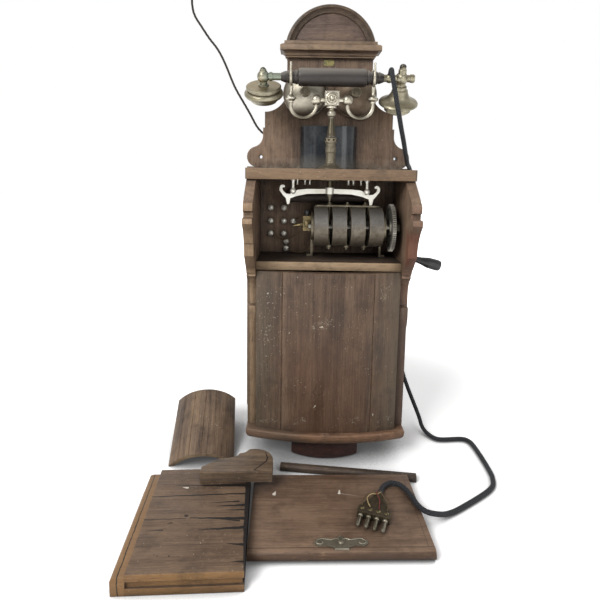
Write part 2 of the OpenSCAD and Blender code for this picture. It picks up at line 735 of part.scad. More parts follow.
// Sliding stem, turned baluster and the square rosette block on top
module cradle_stem() {
    low = bar_z - 14;
    foot_z = ring_top + seat_gap;
    top = rosette_z - rosette_w / 2;
    half = rosette_w / 2;
    color(nickel) at_wall() {
        turned_up(0, cradle_d, 0) polygon(concat(
            [[0, low], [stem_r - 1, low], [stem_r - 1, low + 4], [stem_r, low + 4], [stem_r, bar_z - 7],
                [stem_r + 2, bar_z - 7], [stem_r + 2, bar_z - 4], [stem_r, bar_z - 4],
                [stem_r, collar_z], [collar_r, collar_z], [collar_r, collar_z + 3], [stem_r, collar_z + 3],
                [stem_r, foot_z], [6, foot_z], [6.4, foot_z + 3], [5.6, foot_z + 9], [5, foot_z + 14]],
            [[4, foot_z + 20], [3.4, foot_z + 26]],
            arc([0, top - 11], 6, -52, 52, 8),
            [[3, top - 5], [3, top - 4], [7, top - 3], [7.5, top - 1.5], [6, top + 1], [0, top + 1]]));
        translate([-half, -cradle_d - 6, top]) cube([rosette_w, 12, rosette_w]);
        translate([0, -cradle_d - 6, rosette_z]) rotate([90, 0, 0]) rotate_extrude()
            polygon([[0, 0], [half - 1, 0], [half - 1, 1.2], [half - 2.5, 2], [half - 3.5, 1],
                [half - 5, 1.6], [2.6, 1.2], [2.2, 3.2], [0, 4]]);
        for (a = [0 : 45 : 315])
            translate([5 * cos(a), -cradle_d - 6.8, rosette_z + 5 * sin(a)]) sphere(1.7, $fn = 24);
        for (sx = [-1, 1]) for (sz = [-1, 1])
            translate([sx * (half - 1.8), -cradle_d - 6, rosette_z + sz * (half - 1.8)])
                sphere(1.7, $fn = 24);
    }
}

// One hook: ball, bend, collar and the fork that takes the handle
module hook() {
    r = hook_dia / 2;
    collar_low = bend_z + 5;
    fork_z = handle_z - fork_r;
    tip_z = handle_z + 17;
    color(nickel) at_wall() translate([0, -cradle_d, 0]) {
        translate([rosette_w / 2, 0, rosette_z - 2]) rotate([0, 90, 0])
            cylinder(h = ball_x - rosette_w / 2, r = 4);
        translate([ball_x, 0, rosette_z - 2]) sphere(ball_r, $fn = 48);
        translate([ball_x, 0, bend_z]) cylinder(h = rosette_z - 2 - bend_z, r = r);
        translate([hook_x - hook_r, 0, bend_z]) rotate([90, 0, 0])
            rotate_extrude(angle = 180, start = 180) translate([hook_r, 0]) circle(r, $fn = 32);
        translate([hook_x, 0, bend_z]) cylinder(h = collar_low - bend_z, r = r);
        translate([hook_x, 0, collar_low]) rotate_extrude()
            polygon([[0, -2], [3.6, -2], [4, 0], [7, 2.5], [7.6, 4], [7, 5.5], [4.4, 7], [2.6, 10],
                [2.4, 14], [0, 14]]);
        translate([hook_x, 0, collar_low + 12]) cylinder(h = fork_z - collar_low - 12, r1 = 2.4, r2 = 3.4);
        translate([hook_x, 0, handle_z]) rotate([90, 0, 90])
            rotate_extrude(angle = 180, start = 180) translate([fork_r, 0]) circle(prong_dia / 2, $fn = 32);
        translate([hook_x, -fork_r, handle_z]) cylinder(h = tip_z - handle_z, d1 = prong_dia, d2 = 2.6);
        translate([hook_x, -fork_r, tip_z]) sphere(1.7, $fn = 24);
        translate([hook_x, fork_r, handle_z])
            cylinder(h = tip_z - handle_z - 5, d1 = prong_dia, d2 = 2.6);
        translate([hook_x, fork_r, tip_z - 5]) sphere(1.7, $fn = 24);
    }
}

module left_hook() { mirror([1, 0, 0]) hook(); }
module right_hook() { hook(); }

// Flat bar on the foot of the stem, with a hanging lug and a scroll at each end
module switch_bar() {
    half_bar = [[-1, -bar_hh], [32, -4.3], [47, -7.4], [57, -11], [58.5, -19.5], [61.5, -19.5], [63.5, -11],
        [68, -6], [72.3, 0], [72.6, 4], [71, 7.5], [67.5, 8.5], [64.8, 7], [65.2, 4.6], [67.4, 4.8],
        [68.6, 3], [67.6, -0.5], [63, -4.5], [58, -5], [52, -2], [46, 1.4], [32, 2.8], [-1, bar_hh]];
    color(nickel) at_wall() difference() {
        union() {
            slab(cradle_d - bar_t / 2, bar_t) translate([0, bar_z]) both_sides() polygon(half_bar);
            translate([0, -cradle_d, bar_z - 4]) cylinder(h = 9, r = stem_r + 3);
        }
        translate([0, -cradle_d, bar_z - 20]) cylinder(h = 40, r = stem_r);
    }
}

// Contact pins under the shelf, which the bar meets when the cradle is up, and two ball studs before it
module switch_contacts() {
    pins = [-47, -36, -29, 27, 34, 45];
    low = bar_z + bar_hh + cradle_rise + seat_gap;
    color(nickel) at_wall() {
        for (x = pins) turned_up(x, cradle_d, 0)
            polygon([[0, shelf_under], [2.2, shelf_under], [2.2, shelf_under - 1.5], [1.2, shelf_under - 1.5],
                [1.2, low + 1.5], [2, low + 0.5], [1.2, low], [0, low]]);
        for (s = [-1, 1]) turned_up(s * stud_x, cradle_d + bar_t / 2 + stud_r + 0.7, 0)
            polygon(concat([[0, shelf_under], [4, shelf_under], [2.2, shelf_under - 4]],
                arc([0, bar_z], stud_r, 60, -90, 10)));
    }
}

// Magneto

module coil_bobbin() {
    color(dark_walnut) at_wall() {
        for (x = [induction_x0, induction_x1 - cheek_t]) panel(x, cheek_t) {
            translate([-coil_axis_d, coil_z]) circle(cheek_r);
            translate([-coil_axis_d, coil_z - cheek_r]) square([coil_axis_d - board_t, 2 * cheek_r]);
        }
    }
}

module coil_winding() {
    core = 4;
    color(black) at_wall() turned_across(induction_x0 + cheek_t, coil_axis_d, coil_z)
        polygon([[0, 0], [induction_r, 0], [induction_r, induction_x1 - induction_x0 - 2 * cheek_t],
            [core, induction_x1 - induction_x0 - 2 * cheek_t],
                [0, induction_x1 - induction_x0 - 2 * cheek_t]]);
}

// Horseshoe magnets side by side, bend to the front
module magnets() {
    module horseshoe(r) {
        translate([-magnet_bend_d, shaft_z]) circle(r);
        translate([-magnet_bend_d, shaft_z - r])
            square([magnet_bend_d - magnet_back_d + (magnet_r - r), 2 * r]);
    }
    color(steel) at_wall() for (i = [0 : magnet_count - 1]) panel(magnet_x + i * magnet_step, magnet_w)
        difference() {
            horseshoe(magnet_r);
            horseshoe(magnet_r - magnet_t);
        }
}

// Iron shoes between the magnets' legs, hollowed round the armature
module pole_shoes() {
    inner = magnet_r - magnet_t;
    gap = 5;
    color(steel) at_wall() panel(magnet_x - 1, magnet_end - magnet_x + 2) difference() {
        translate([-armature_d - shoe_bore_r + 3, shaft_z - inner])
            square([shoe_bore_r - 3 + armature_d - magnet_back_d, 2 * inner]);
        translate([-armature_d, shaft_z]) circle(shoe_bore_r);
        translate([-shaft_d, shaft_z - gap]) square([shaft_d, 2 * gap]);
    }
}

// End plate on its own foot, with the bearings of the crank shaft and the armature
module end_plate(x, foot_dir) {
    toe = 9;
    leg_d = magnet_back_d + 8;
    leg_w = 22;
    difference() {
        union() {
            panel(x, plate_t) {
                translate([-shaft_d, shaft_z]) circle(20);
                translate([-shaft_d, shaft_z - 20]) square([shaft_d - magnet_back_d, 40]);
                translate([-leg_d - leg_w, divider_z]) square([leg_w, shaft_z - divider_z]);
            }
            translate([foot_dir > 0 ? x : x + plate_t - toe, -leg_d - leg_w, divider_z])
                cube([toe, leg_w, plate_t]);
        }
        translate([x - 1, -shaft_d, shaft_z]) rotate([0, 90, 0])
            cylinder(h = plate_t + 2, r = shaft_dia / 2 + run_gap);
        translate([x - 1, -armature_d, shaft_z]) rotate([0, 90, 0])
            cylinder(h = plate_t + 2, r = 3 + run_gap);
    }
}

module left_end_plate() { color(dull_brass) at_wall() end_plate(left_plate_x, -1); }
module right_end_plate() { color(dull_brass) at_wall() end_plate(right_plate_x, 1); }

// Insulated contact block and binding screw on the left end plate
module magneto_contact() {
    block_w = 12;
    y = -shaft_d + 20;
    color(dull_brass) at_wall() {
        translate([left_plate_x - block_w, y - 6, shaft_z - 8]) cube([block_w, 12, 22]);
        translate([left_plate_x - 6, y - 6, shaft_z + 3]) rotate([90, 0, 0])
            rotate_extrude() polygon([[0, 0], [5, 0], [5, 2], [3.6, 3], [3.6, 7], [0, 8]]);
    }
}

// Shuttle armature: an iron H wound lengthwise, on its shaft
module armature() {
    len = magnet_end - magnet_x - 4;
    x0 = magnet_x + 2;
    color(copper) at_wall() {
        turned_across(0, armature_d, shaft_z)
            polygon([[0, left_plate_x - 2], [3, left_plate_x - 2], [3, x0], [armature_r - 2, x0],
                [armature_r - 2, x0 + 3], [armature_r, x0 + 3], [armature_r, x0 + len - 3],
                [armature_r - 2, x0 + len - 3], [armature_r - 2, x0 + len], [3, x0 + len],
                [3, gear_x - 0.2], [0, gear_x - 0.2]]);
    }
}

// Spur gear with straight-flanked teeth; a tooth points along +X, or a gap if turned half a pitch
module spur(teeth, t, turn) {
    r = teeth * gear_module / 2;
    root = r - 1.25 * gear_module;
    tip = r + 0.9 * gear_module;
    pitch = 360 / teeth;
    function at(rad, a) = rad * [cos(a), sin(a)];
    linear_extrude(t) rotate(turn) polygon([for (i = [0 : teeth - 1]) each
        [at(root, (i - 0.34) * pitch), at(r, (i - 0.22) * pitch), at(tip, (i - 0.1) * pitch),
            at(tip, (i + 0.1) * pitch), at(r, (i + 0.22) * pitch), at(root, (i + 0.34) * pitch)]]);
}

// Axles along +X: the gears' own +X then points down, and +Y to the back
module on_shaft(x, d) { translate([x, -d, shaft_z]) rotate([0, 90, 0]) children(); }

module pinion() {
    color(dull_brass) at_wall() on_shaft(gear_x - 0.2, armature_d)
        spur(pinion_teeth, gear_t + 0.4, 270 + 180 / pinion_teeth);
}

module drive_gear() {
    rim = 5;
    bore = shaft_dia / 2;
    color(steel) at_wall() on_shaft(gear_x, shaft_d) difference() {
        union() {
            spur(gear_teeth, gear_t, 90);
            cylinder(h = gear_t + 5, r = 8);
        }
        translate([0, 0, -1]) cylinder(h = gear_t + 8, r = bore);
        translate([0, 0, gear_t - 1.5]) difference() {
            cylinder(h = 2, r = gear_pitch_r - rim);
            translate([0, 0, -1]) cylinder(h = 4, r = 11);
        }
        translate([0, 0, -0.5]) difference() {
            cylinder(h = 2, r = gear_pitch_r - rim);
            translate([0, 0, -1]) cylinder(h = 4, r = 11);
        }
    }
}

module crank_shaft() {
    color(steel) at_wall() turned_across(left_plate_x - 4, shaft_d, shaft_z)
        square([shaft_dia / 2, arm_x + arm_t + 1.5 - left_plate_x + 4]);
}

// Cranked arm outside the box, with the leaning pin that the grip turns on
module crank_arm() {
    bore = shaft_dia / 2;
    pin_x = arm_x + arm_t / 2;
    color(steel) at_wall() difference() {
        union() {
            translate([arm_x, -shaft_d, shaft_z]) rotate([0, 90, 0]) cylinder(h = arm_t, r = arm_r + 1.5);
            translate([arm_x, -shaft_d, pin_z]) rotate([0, 90, 0]) cylinder(h = arm_t, r = arm_r - 1);
            panel(arm_x, arm_t) translate([-shaft_d, 0])
                polygon([[-arm_r - 0.6, shaft_z], [arm_r + 0.6, shaft_z], [arm_r - 1.2, pin_z],
                    [1.2 - arm_r, pin_z]]);
            translate([pin_x, -shaft_d, pin_z]) rotate([0, 90 + grip_lean, 0])
                cylinder(h = arm_t + grip_len - 4, r = pin_r);
        }
        translate([arm_x - 1, -shaft_d, shaft_z]) rotate([0, 90, 0]) cylinder(h = arm_t + 2, r = bore);
    }
}

module crank_grip() {
    big = grip_dia / 2;
    bore = pin_r + run_gap;
    start = arm_t + 1;
    color(black) at_wall() translate([arm_x + arm_t / 2, -shaft_d, pin_z]) rotate([0, 90 + grip_lean, 0])
        rotate_extrude() polygon([[bore, start], [4.2, start], [4.6, start + 2], [5.4, start + 8],
            [big, start + grip_len * 0.5], [big + 0.3, start + grip_len - 5],
            [big - 0.4, start + grip_len - 1.2], [big - 1.6, start + grip_len], [0, start + grip_len],
            [0, start + grip_len - 4], [bore, start + grip_len - 4]]);
}

// Flanged bush of the crank shaft in the right side panel
module shaft_bush() {
    color(dull_brass) at_wall() turned_across(inner_x, shaft_d, shaft_z)
        polygon([[shaft_dia / 2 + run_gap, 0], [bush_r, 0], [bush_r, side_t], [bush_flange_r, side_t],
            [bush_flange_r, side_t + bush_t - 1], [bush_flange_r - 1.5, side_t + bush_t],
            [shaft_dia / 2 + run_gap, side_t + bush_t]]);
}

module terminal_screws() {
    color(nickel) at_wall() for (p = terminals) turned_out(p.x, p.y)
        polygon([[0, board_t], [terminal_r + 0.8, board_t], [terminal_r + 0.8, board_t + 1.2],
            [2, board_t + 1.2],
            [2, board_t + 3], [terminal_r, board_t + 3], [terminal_r, board_t + 5.5],
            [terminal_r - 1.2, board_t + 7], [0, board_t + 7.4]]);
}

module wiring() {
    color(copper) at_wall() for (p = leads) tube(smooth(p, 3), lead_dia / 2, 8);
}

// Handset: drawn with its handle along X and its capsules hanging, then laid tipped in the cradle

module in_cradle() {
    at_wall() translate([0, -cradle_d, handle_z]) rotate([handset_tilt, 0, 0]) children();
}
module along_x() { rotate([0, 90, 0]) rotate_extrude() children(); }

module handle() {
    r = handle_dia / 2;
    half = [[0, 0], [r, 0], [r, handle_hl - 3], [r - 0.8, handle_hl], [r - 3, handle_hl + 1],
        [r - 2.4, handle_hl + 3], [r - 2.6, handle_hl + 5], [neck_r, handle_hl + 6], [neck_r, hook_x + 4],
        [7.6, hook_x + 5.5], [8, hook_x + 8], [5.6, arm_start], [0, arm_start]];
    color([0.22, 0.17, 0.15]) in_cradle() both_sides() along_x() polygon(half);
}

// Flat drum: a top plate over a groove, a big round rim, and an ear opening below
module receiver() {
    r = receiver_r;
    rim_r = 5;
    color(nickel) in_cradle() translate([-capsule_x, 0, 0]) rotate_extrude() polygon(concat(
        [[0, -13], [r - 4.5, -13], [r - 3, -14], [r - 3, -16.5], [r - 5, -17.5], [r - 5, -19.5]],
        arc([r - rim_r, -19.5 - rim_r], rim_r, 90, -80, 10),
        [[r - 8, -33.5], [r - 10, -36], [8, -36], [6, -34.5], [0, -34.5]]));
}

// Ball with an acorn nut on top and a neck into the receiver, and the tube into the handle
module receiver_arm() {
    color(nickel) in_cradle() {
        translate([-capsule_x, 0, 0]) {
            rotate_extrude() polygon(concat([[0, -13], [7.5, -13], [7.5, -11.5], [5.2, -10.5], [5.2, -7]],
                arc([0, 0], receiver_ball_r, -52, 52, 10), [[5, 7.2], [5, 8.8]],
                arc([0, 8.8], 4.2, 0, 90, 5)));
            rotate([0, 90, 0]) cylinder(h = capsule_x - arm_start, r = arm_tube_r);
        }
        translate([-capsule_x + receiver_ball_r, 0, 0]) rotate([0, 90, 0])
            cylinder(h = 4, r = arm_tube_r + 1.2);
    }
}

// Flared bell with a stepped throat, and the dark mouth cup under its rim
module transmitter() {
    r = bell_r;
    color(nickel) in_cradle() translate([capsule_x, 0, 0]) rotate_extrude() polygon(concat(
        [[0, -13], [9, -13], [9.5, -15], [11, -16]], arc([r + 1, -14], 18, 200, 248, 6),
        [[r - 1, -33], [r, -34.5], [r, -36.5], [r - 2, -38], [20, -39], [18.5, -41], [19, -46], [17, -48],
            [9, -48], [7, -46], [0, -46]]));
}

module transmitter_arm() {
    color(nickel) in_cradle() {
        translate([capsule_x, 0, 0]) {
            rotate_extrude() polygon(concat([[0, -13], [9, -13], [9, -11], [6.8, -10], [6.8, -6]],
                arc([0, 0], bell_ball_r, -40, 52, 10), [[5.6, 7.6], [5.6, 12.5], [4.6, 13.5], [4.6, 17.5],
                    [3, 19.5], [0, 20]]));
            rotate([0, 90, 0]) cylinder(h = bell_ball_r + 9, r = arm_tube_r);
            translate([bell_ball_r + 3, 0, 0]) rotate([0, 90, 0]) cylinder(h = 5, r = arm_tube_r + 0.8);
        }
        translate([arm_start, 0, 0]) rotate([0, 90, 0]) cylinder(h = capsule_x - arm_start, r = arm_tube_r);
        translate([gland_x, 0, 0]) sphere(gland_r, $fn = 48);
    }
}

// Cords

cord_steps = 2;
cord_sides = 10;

cord_route = concat(cord_upper_route, [for (i = [1 : len(cord_lower_route) - 1]) cord_lower_route[i]]);
cord_points = smooth(cord_route, cord_steps);
cord_split = (len(cord_upper_route) - 1) * cord_steps;

module cord_upper() { color(black) at_wall() tube(cord_points, cord_dia / 2, cord_sides, 0, cord_split); }
module cord_lower() { color(black) at_wall() tube(cord_points, cord_dia / 2, cord_sides, cord_split); }
module line_wire() { color(black) at_wall() tube(smooth(line_route, cord_steps), wire_dia / 2, 8); }

// Small turned eye on the wall, which the line wire ends in
module wire_eye() {
    color(dull_brass) at_wall() translate(wire_eye_at) rotate([90, 0, 0]) rotate_extrude()
        polygon([[0, 0], [7, 0], [7, 2], [5, 3], [4.4, 8], [6, 11], [5, 14], [0, 15]]);
}

// Fan-shaped plug lying on the lid: tail, body and four pins in a row
module plug_frame() { at_wall() translate(plug_at) rotate([0, 0, plug_turn]) children(); }

module cord_plug() {
    wide = 3 * pin_pitch + 10;
    color(dull_brass) plug_frame() difference() {
        union() {
            linear_extrude(plug_t) polygon([[-5, -8], [5, -8], [7, -18], [wide / 2, -plug_l + 8],
                [wide / 2, -plug_l],
                [-wide / 2, -plug_l], [-wide / 2, -plug_l + 8], [-7, -18]]);
            translate([0, 0, cord_dia / 2 + 0.25]) rotate([90, 0, 0])
                cylinder(h = 12, r1 = cord_dia / 2, r2 = plug_tail_r);
        }
        translate([-20, -20, -10]) cube([40, 30, 10]);
        for (i = [-1.5 : 1.5]) translate([i * pin_pitch, -plug_l + 7, plug_t - 2])
            cylinder(h = 3, r = 2.8, $fn = 32);
    }
}

module plug_pins() {
    color(nickel) plug_frame() for (i = [-1.5 : 1.5]) translate([i * pin_pitch, -plug_l, plug_t / 2])
        rotate([90, 0, 0]) rotate_extrude()
        polygon([[0, 0], [3.4, 0], [3.4, 3], [2.4, 4], [2.4, pin_l - 2], [1.2, pin_l], [0, pin_l]]);
}

// Loose pieces on the floor

module on_floor(at, turn) { at_wall() translate(at) rotate([0, 0, turn]) children(); }

// Half-round cover of glued staves, hollow side down, its far end leaning on the wall
module half_round_cover() {
    span = asin(shell_w / 2 / shell_r);
    color(walnut) on_floor(shell_at, shell_turn) rotate([shell_lean, 0, 0]) translate([0, shell_l, 0])
        rotate([90, 0, 0]) linear_extrude(shell_l) translate([0, shell_rise - shell_r]) difference() {
            circle(shell_r, $fn = 180);
            circle(shell_r - shell_t, $fn = 180);
            translate([-shell_r, -2 * shell_r - shell_rise]) square([2 * shell_r, 3 * shell_r]);
            for (i = [1 : shell_staves - 1]) rotate(span - 2 * span * i / shell_staves)
                translate([0, shell_r]) rotate(45) square(0.9, center = true);
        }
}

// Scroll-cut bracket board, laid on the tray
module corbel() {
    color(walnut) on_floor(corbel_at, 1) linear_extrude(corbel_t) polygon(concat(
        [[-corbel_w / 2, 0], [corbel_w / 2, 0], [corbel_w / 2, 24]],
        arc([corbel_w / 2 - 26, 28], 26, 0, 110, 12),
        [[8, 46], [0, 43]], arc([-20, 60], 28, 310, 262, 6), [[-corbel_w / 2, 12]]));
}

// Three glued layers with stepped edges and a batten down the left
module battery_tray() {
    half_w = tray_w / 2;
    half_l = tray_l / 2;
    layer_w = tray_w - batten_w - 1;
    color(walnut) on_floor(tray_at, tray_turn) {
        translate([-half_w + batten_w + 1, -half_l, 0]) cube([layer_w, tray_l, tray_t]);
        translate([-half_w + batten_w + 1, -half_l + 3, tray_t]) cube([layer_w - 2, tray_l - 6, tray_t]);
        translate([-half_w + batten_w + 1, -half_l, 2 * tray_t]) cube([layer_w, tray_l, tray_t]);
        translate([-half_w, half_l - 5, 0]) rotate([90, 0, 0]) linear_extrude(tray_l - 5) {
            square([batten_w + 1, 2 * tray_t]);
            translate([5, 0]) square([batten_w - 4, 2 * tray_t + 5]);
            translate([5, 2 * tray_t]) circle(5);
        }
    }
}

// Desk lid with a bead along its front edge and cleats at both ends
module desk_lid() {
    bead = lid_t / 2;
    color(walnut) on_floor(lid_at, lid_turn) {
        translate([-lid_w / 2, bead - lid_l / 2, 0]) cube([lid_w, lid_l - bead, lid_t]);
        translate([-lid_w / 2, bead - lid_l / 2, bead]) rotate([0, 90, 0]) cylinder(h = lid_w, r = bead);
    }
}

// Pressed catch plate: two scrolled wings about a small boss, and the tongue over the lid's edge
module lid_catch() {
    half = [[-1, 10], [0, 10], [4, 7], [8, 3], [14, 6], [24, 7], [30, 3], [31, -2], [26, -5], [16, -4],
        [8, -7], [-1, -8]];
    color(nickel) on_floor(lid_at, lid_turn) translate([0, 14 - lid_l / 2, lid_t]) {
        linear_extrude(1.4) both_sides() polygon(half);
        rotate_extrude() polygon([[0, 0], [3.2, 0], [3.2, 2], [2, 3.2], [0, 3.6]]);
        translate([-8, -10, 0]) cube([16, 4, 2.4]);
    }
}

module loose_strip() {
    color(dark_walnut) on_floor(strip_at, strip_turn) translate([0, 0, strip_w / 2]) difference() {
        cube([strip_l, strip_w, strip_w], center = true);
        translate([0, -strip_w / 2, strip_w / 2]) rotate([45, 0, 0]) cube([strip_l + 2, 4, 4], center = true);
    }
}

backboard();
crest_panel();
crest_arch();
cornice();
shelf();
left_side();
right_side();
divider();
bottom_board();
foot();
battery_cover();
dry_cells();
gong_left();
gong_right();
gong_screws();
bell_cover();
bell_coils();
clapper();
column_flange();
column_tube();
column_ring();
cradle_spring();
cradle_stem();
left_hook();
right_hook();
switch_bar();
switch_contacts();
coil_bobbin();
coil_winding();
magnets();
pole_shoes();
left_end_plate();
right_end_plate();
magneto_contact();
armature();
pinion();
drive_gear();
crank_shaft();
crank_arm();
crank_grip();
shaft_bush();
terminal_screws();
wiring();
handle();
receiver();
receiver_arm();
transmitter();
transmitter_arm();
cord_upper();
cord_lower();
cord_plug();
plug_pins();
line_wire();
wire_eye();
half_round_cover();
corbel();
battery_tray();
desk_lid();
lid_catch();
loose_strip();
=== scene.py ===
import math

import bpy
import numpy as np
from mathutils import Matrix


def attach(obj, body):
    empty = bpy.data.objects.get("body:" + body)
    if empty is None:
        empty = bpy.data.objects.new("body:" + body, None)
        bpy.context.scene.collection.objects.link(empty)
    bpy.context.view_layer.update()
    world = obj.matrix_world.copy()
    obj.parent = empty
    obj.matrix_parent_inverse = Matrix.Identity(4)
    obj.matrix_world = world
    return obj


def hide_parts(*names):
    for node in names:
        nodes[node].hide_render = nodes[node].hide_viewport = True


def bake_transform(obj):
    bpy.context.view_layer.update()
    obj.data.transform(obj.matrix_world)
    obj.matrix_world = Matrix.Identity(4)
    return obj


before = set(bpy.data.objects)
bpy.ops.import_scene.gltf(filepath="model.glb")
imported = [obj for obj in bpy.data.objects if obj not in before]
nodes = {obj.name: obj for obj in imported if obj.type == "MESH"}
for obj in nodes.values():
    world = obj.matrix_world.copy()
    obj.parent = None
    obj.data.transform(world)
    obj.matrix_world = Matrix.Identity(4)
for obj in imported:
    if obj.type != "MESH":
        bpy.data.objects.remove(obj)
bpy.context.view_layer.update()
scene = bpy.context.scene
scene.view_settings.view_transform = "Standard"
wallDepth = 0.066   # the wall is this far behind the middle of the foot
print("frame loaded:", len(nodes), "pieces")


def standObject(name, data, place, right, up, ahead):
    # a camera or lamp at a place, which looks ahead
    holder = bpy.data.objects.new(name, data)
    scene.collection.objects.link(holder)
    grid = np.eye(4)
    grid[:3, 0], grid[:3, 1], grid[:3, 2], grid[:3, 3] = right, up, -ahead, place
    holder.matrix_world = Matrix(grid.tolist())
    return holder


# Camera, low and close, looking slightly down

shot = {
    "place": (-0.042, -0.714, 0.4345),
    "pitch": 8.0,        # degrees down
    "roll": 0.9,         # degrees
    "lens": 28.8,        # mm
    "sensor": 36,        # mm
    "shift": (0.0, -0.1075),
    "clip": (0.01, 60),  # metres
}


def aimCamera():
    # right and up turned about the view line by the roll; the view line tips down by the pitch
    pitch, roll = math.radians(shot["pitch"]), math.radians(shot["roll"])
    ahead = np.array([0, math.cos(pitch), -math.sin(pitch)])
    level, upright = np.array([1.0, 0, 0]), np.array([0, math.sin(pitch), math.cos(pitch)])
    right = math.cos(roll) * level + math.sin(roll) * upright
    up = -math.sin(roll) * level + math.cos(roll) * upright
    lens = bpy.data.cameras.new("photoLens")
    lens.lens, lens.sensor_width = shot["lens"], shot["sensor"]
    lens.shift_x, lens.shift_y = shot["shift"]
    lens.clip_start, lens.clip_end = shot["clip"]
    scene.camera = standObject("photoCamera", lens, shot["place"], right, up, ahead)


aimCamera()


# Finishes

def tone(hexText):
    # sRGB hex to linear
    srgb = np.array([int(hexText[i:i + 2], 16) for i in (1, 3, 5)]) / 255
    linear = np.where(srgb <= 0.04045, srgb / 12.92, ((srgb + 0.055) / 1.055) ** 2.4)
    return (*linear.tolist(), 1.0)


def grey(level):
    return (level, level, level, 1.0)


def setNode(tree, node, given):
    # settings, ramp stops and inputs; an input is a value, a socket, or a node, which gives its first output
    for name, value in given.items():
        if name == "stops":
            ramp = node.color_ramp.elements
            ramp[0].position, ramp[0].color = value[0]
            ramp[-1].position, ramp[-1].color = value[-1]
            for place, colour in value[1:-1]:
                ramp.new(place).color = colour
        elif isinstance(value, (bpy.types.Node, bpy.types.NodeSocket)):
            tree.links.new(getattr(value, "outputs", [value])[0], node.inputs[name])
        elif isinstance(name, int) or name in node.inputs:
            node.inputs[name].default_value = value
        else:
            setattr(node, name, value)
    return node


def addNode(tree, kind, given=None):
    return setNode(tree, tree.nodes.new(kind if "Node" in kind else "ShaderNode" + kind), given or {})


def newFinish(name):
    finish = bpy.data.materials.new(name)
    finish.use_nodes = True
    return finish, finish.node_tree, finish.node_tree.nodes["Principled BSDF"]


def layStains(tree, colour, stains):
    # each stain (hex, mask) lies over the ones before it
    for stain, mask in stains:
        colour = addNode(tree, "Mix", {"data_type": "RGBA", 0: mask, 6: colour, 7: tone(stain)}).outputs[2]
    return colour


def areaMask(tree, share, *spans):
    # share where every span is full, else less; a span is a value, where it starts and where it is full
    mask = None
    for value, start, full in spans:
        ramp = addNode(tree, "MapRange", {"From Min": start, "From Max": full,
            "To Max": share if mask is None else 1.0, "Value": value})
        mask = ramp if mask is None else addNode(tree, "Math", {"operation": "MULTIPLY", 0: mask, 1: ramp})
    return mask


def scarMask(tree, local, scars, wobble):
    # 1 on cracks and scratches: each scar is a segment from a to b (mm in the board's plane) whose half
    # width runs from the first to the second number, and its line wavers by wobble mm
    plane = addNode(tree, "VectorMath", {"operation": "MULTIPLY", 0: local, 1: (1, 1, 0)})
    sway = addNode(tree, "TexNoise", {"Scale": 0.12, "Detail": 4.0, "Vector": local})
    moved = addNode(tree, "VectorMath", {"operation": "MULTIPLY_ADD", 0: sway.outputs["Color"],
        1: (2 * wobble, 2 * wobble, 0), 2: plane})
    blur = 0.25   # mm, at the scar's edge
    mask = None
    for a, b, wide in scars:
        run = np.subtract(b, a)
        start = (a[0] + wobble, a[1] + wobble, 0)
        away = addNode(tree, "VectorMath", {"operation": "SUBTRACT", 0: moved, 1: start})
        share = addNode(tree, "VectorMath", {"operation": "DOT_PRODUCT", 0: away,
            1: (*(run / run.dot(run)), 0)})
        kept = addNode(tree, "Clamp", {"Value": share.outputs["Value"]})
        foot = addNode(tree, "VectorMath", {"operation": "SCALE", 0: (*run, 0), "Scale": kept})
        gap = addNode(tree, "VectorMath", {"operation": "DISTANCE", 0: away, 1: foot})
        edge = addNode(tree, "MapRange", {"To Min": wide[0], "To Max": wide[1], "Value": kept})
        inside = addNode(tree, "Math", {"operation": "SUBTRACT", 0: edge, 1: gap.outputs["Value"]})
        soft = areaMask(tree, 1.0, (inside, -blur, blur))
        mask = soft if mask is None else addNode(tree, "Math", {"operation": "MAXIMUM", 0: mask, 1: soft})
    return mask


def facingWay(tree, way):
    # 1 on faces that look along the way, 0 across it
    place = addNode(tree, "TexCoord")
    return addNode(tree, "VectorMath", {"operation": "DOT_PRODUCT", 0: place.outputs["Normal"],
        1: way}).outputs["Value"]


def bendAndShelter(tree, edgeWide, reach):
    # how far the rounded normal keeps to the flat one, low along edges, and how open the surface is,
    # low in corners
    rounded = addNode(tree, "Bevel", {"samples": 4, "Radius": edgeWide / 1000})
    flat = addNode(tree, "NewGeometry")
    bend = addNode(tree, "VectorMath", {"operation": "DOT_PRODUCT", 0: rounded, 1: flat.outputs["Normal"]})
    corner = addNode(tree, "AmbientOcclusion", {"samples": 4, "Distance": reach / 1000})
    return bend.outputs["Value"], corner.outputs["AO"]


agedWood = {
    "rings": 34.0,       # how often the figure's noise is folded into rings
    "shadeReach": 18,     # mm from a corner
    "seam": (0.7, 0.2),  # mm from the middle of a seam, where its dark starts and where it is full
    "pores": 0.32, "scuffs": 0.3, "stains": 0.4, "dust": 0.7, "seams": 0.36,   # share of each
    "dustTone": "#b9ac98",
}


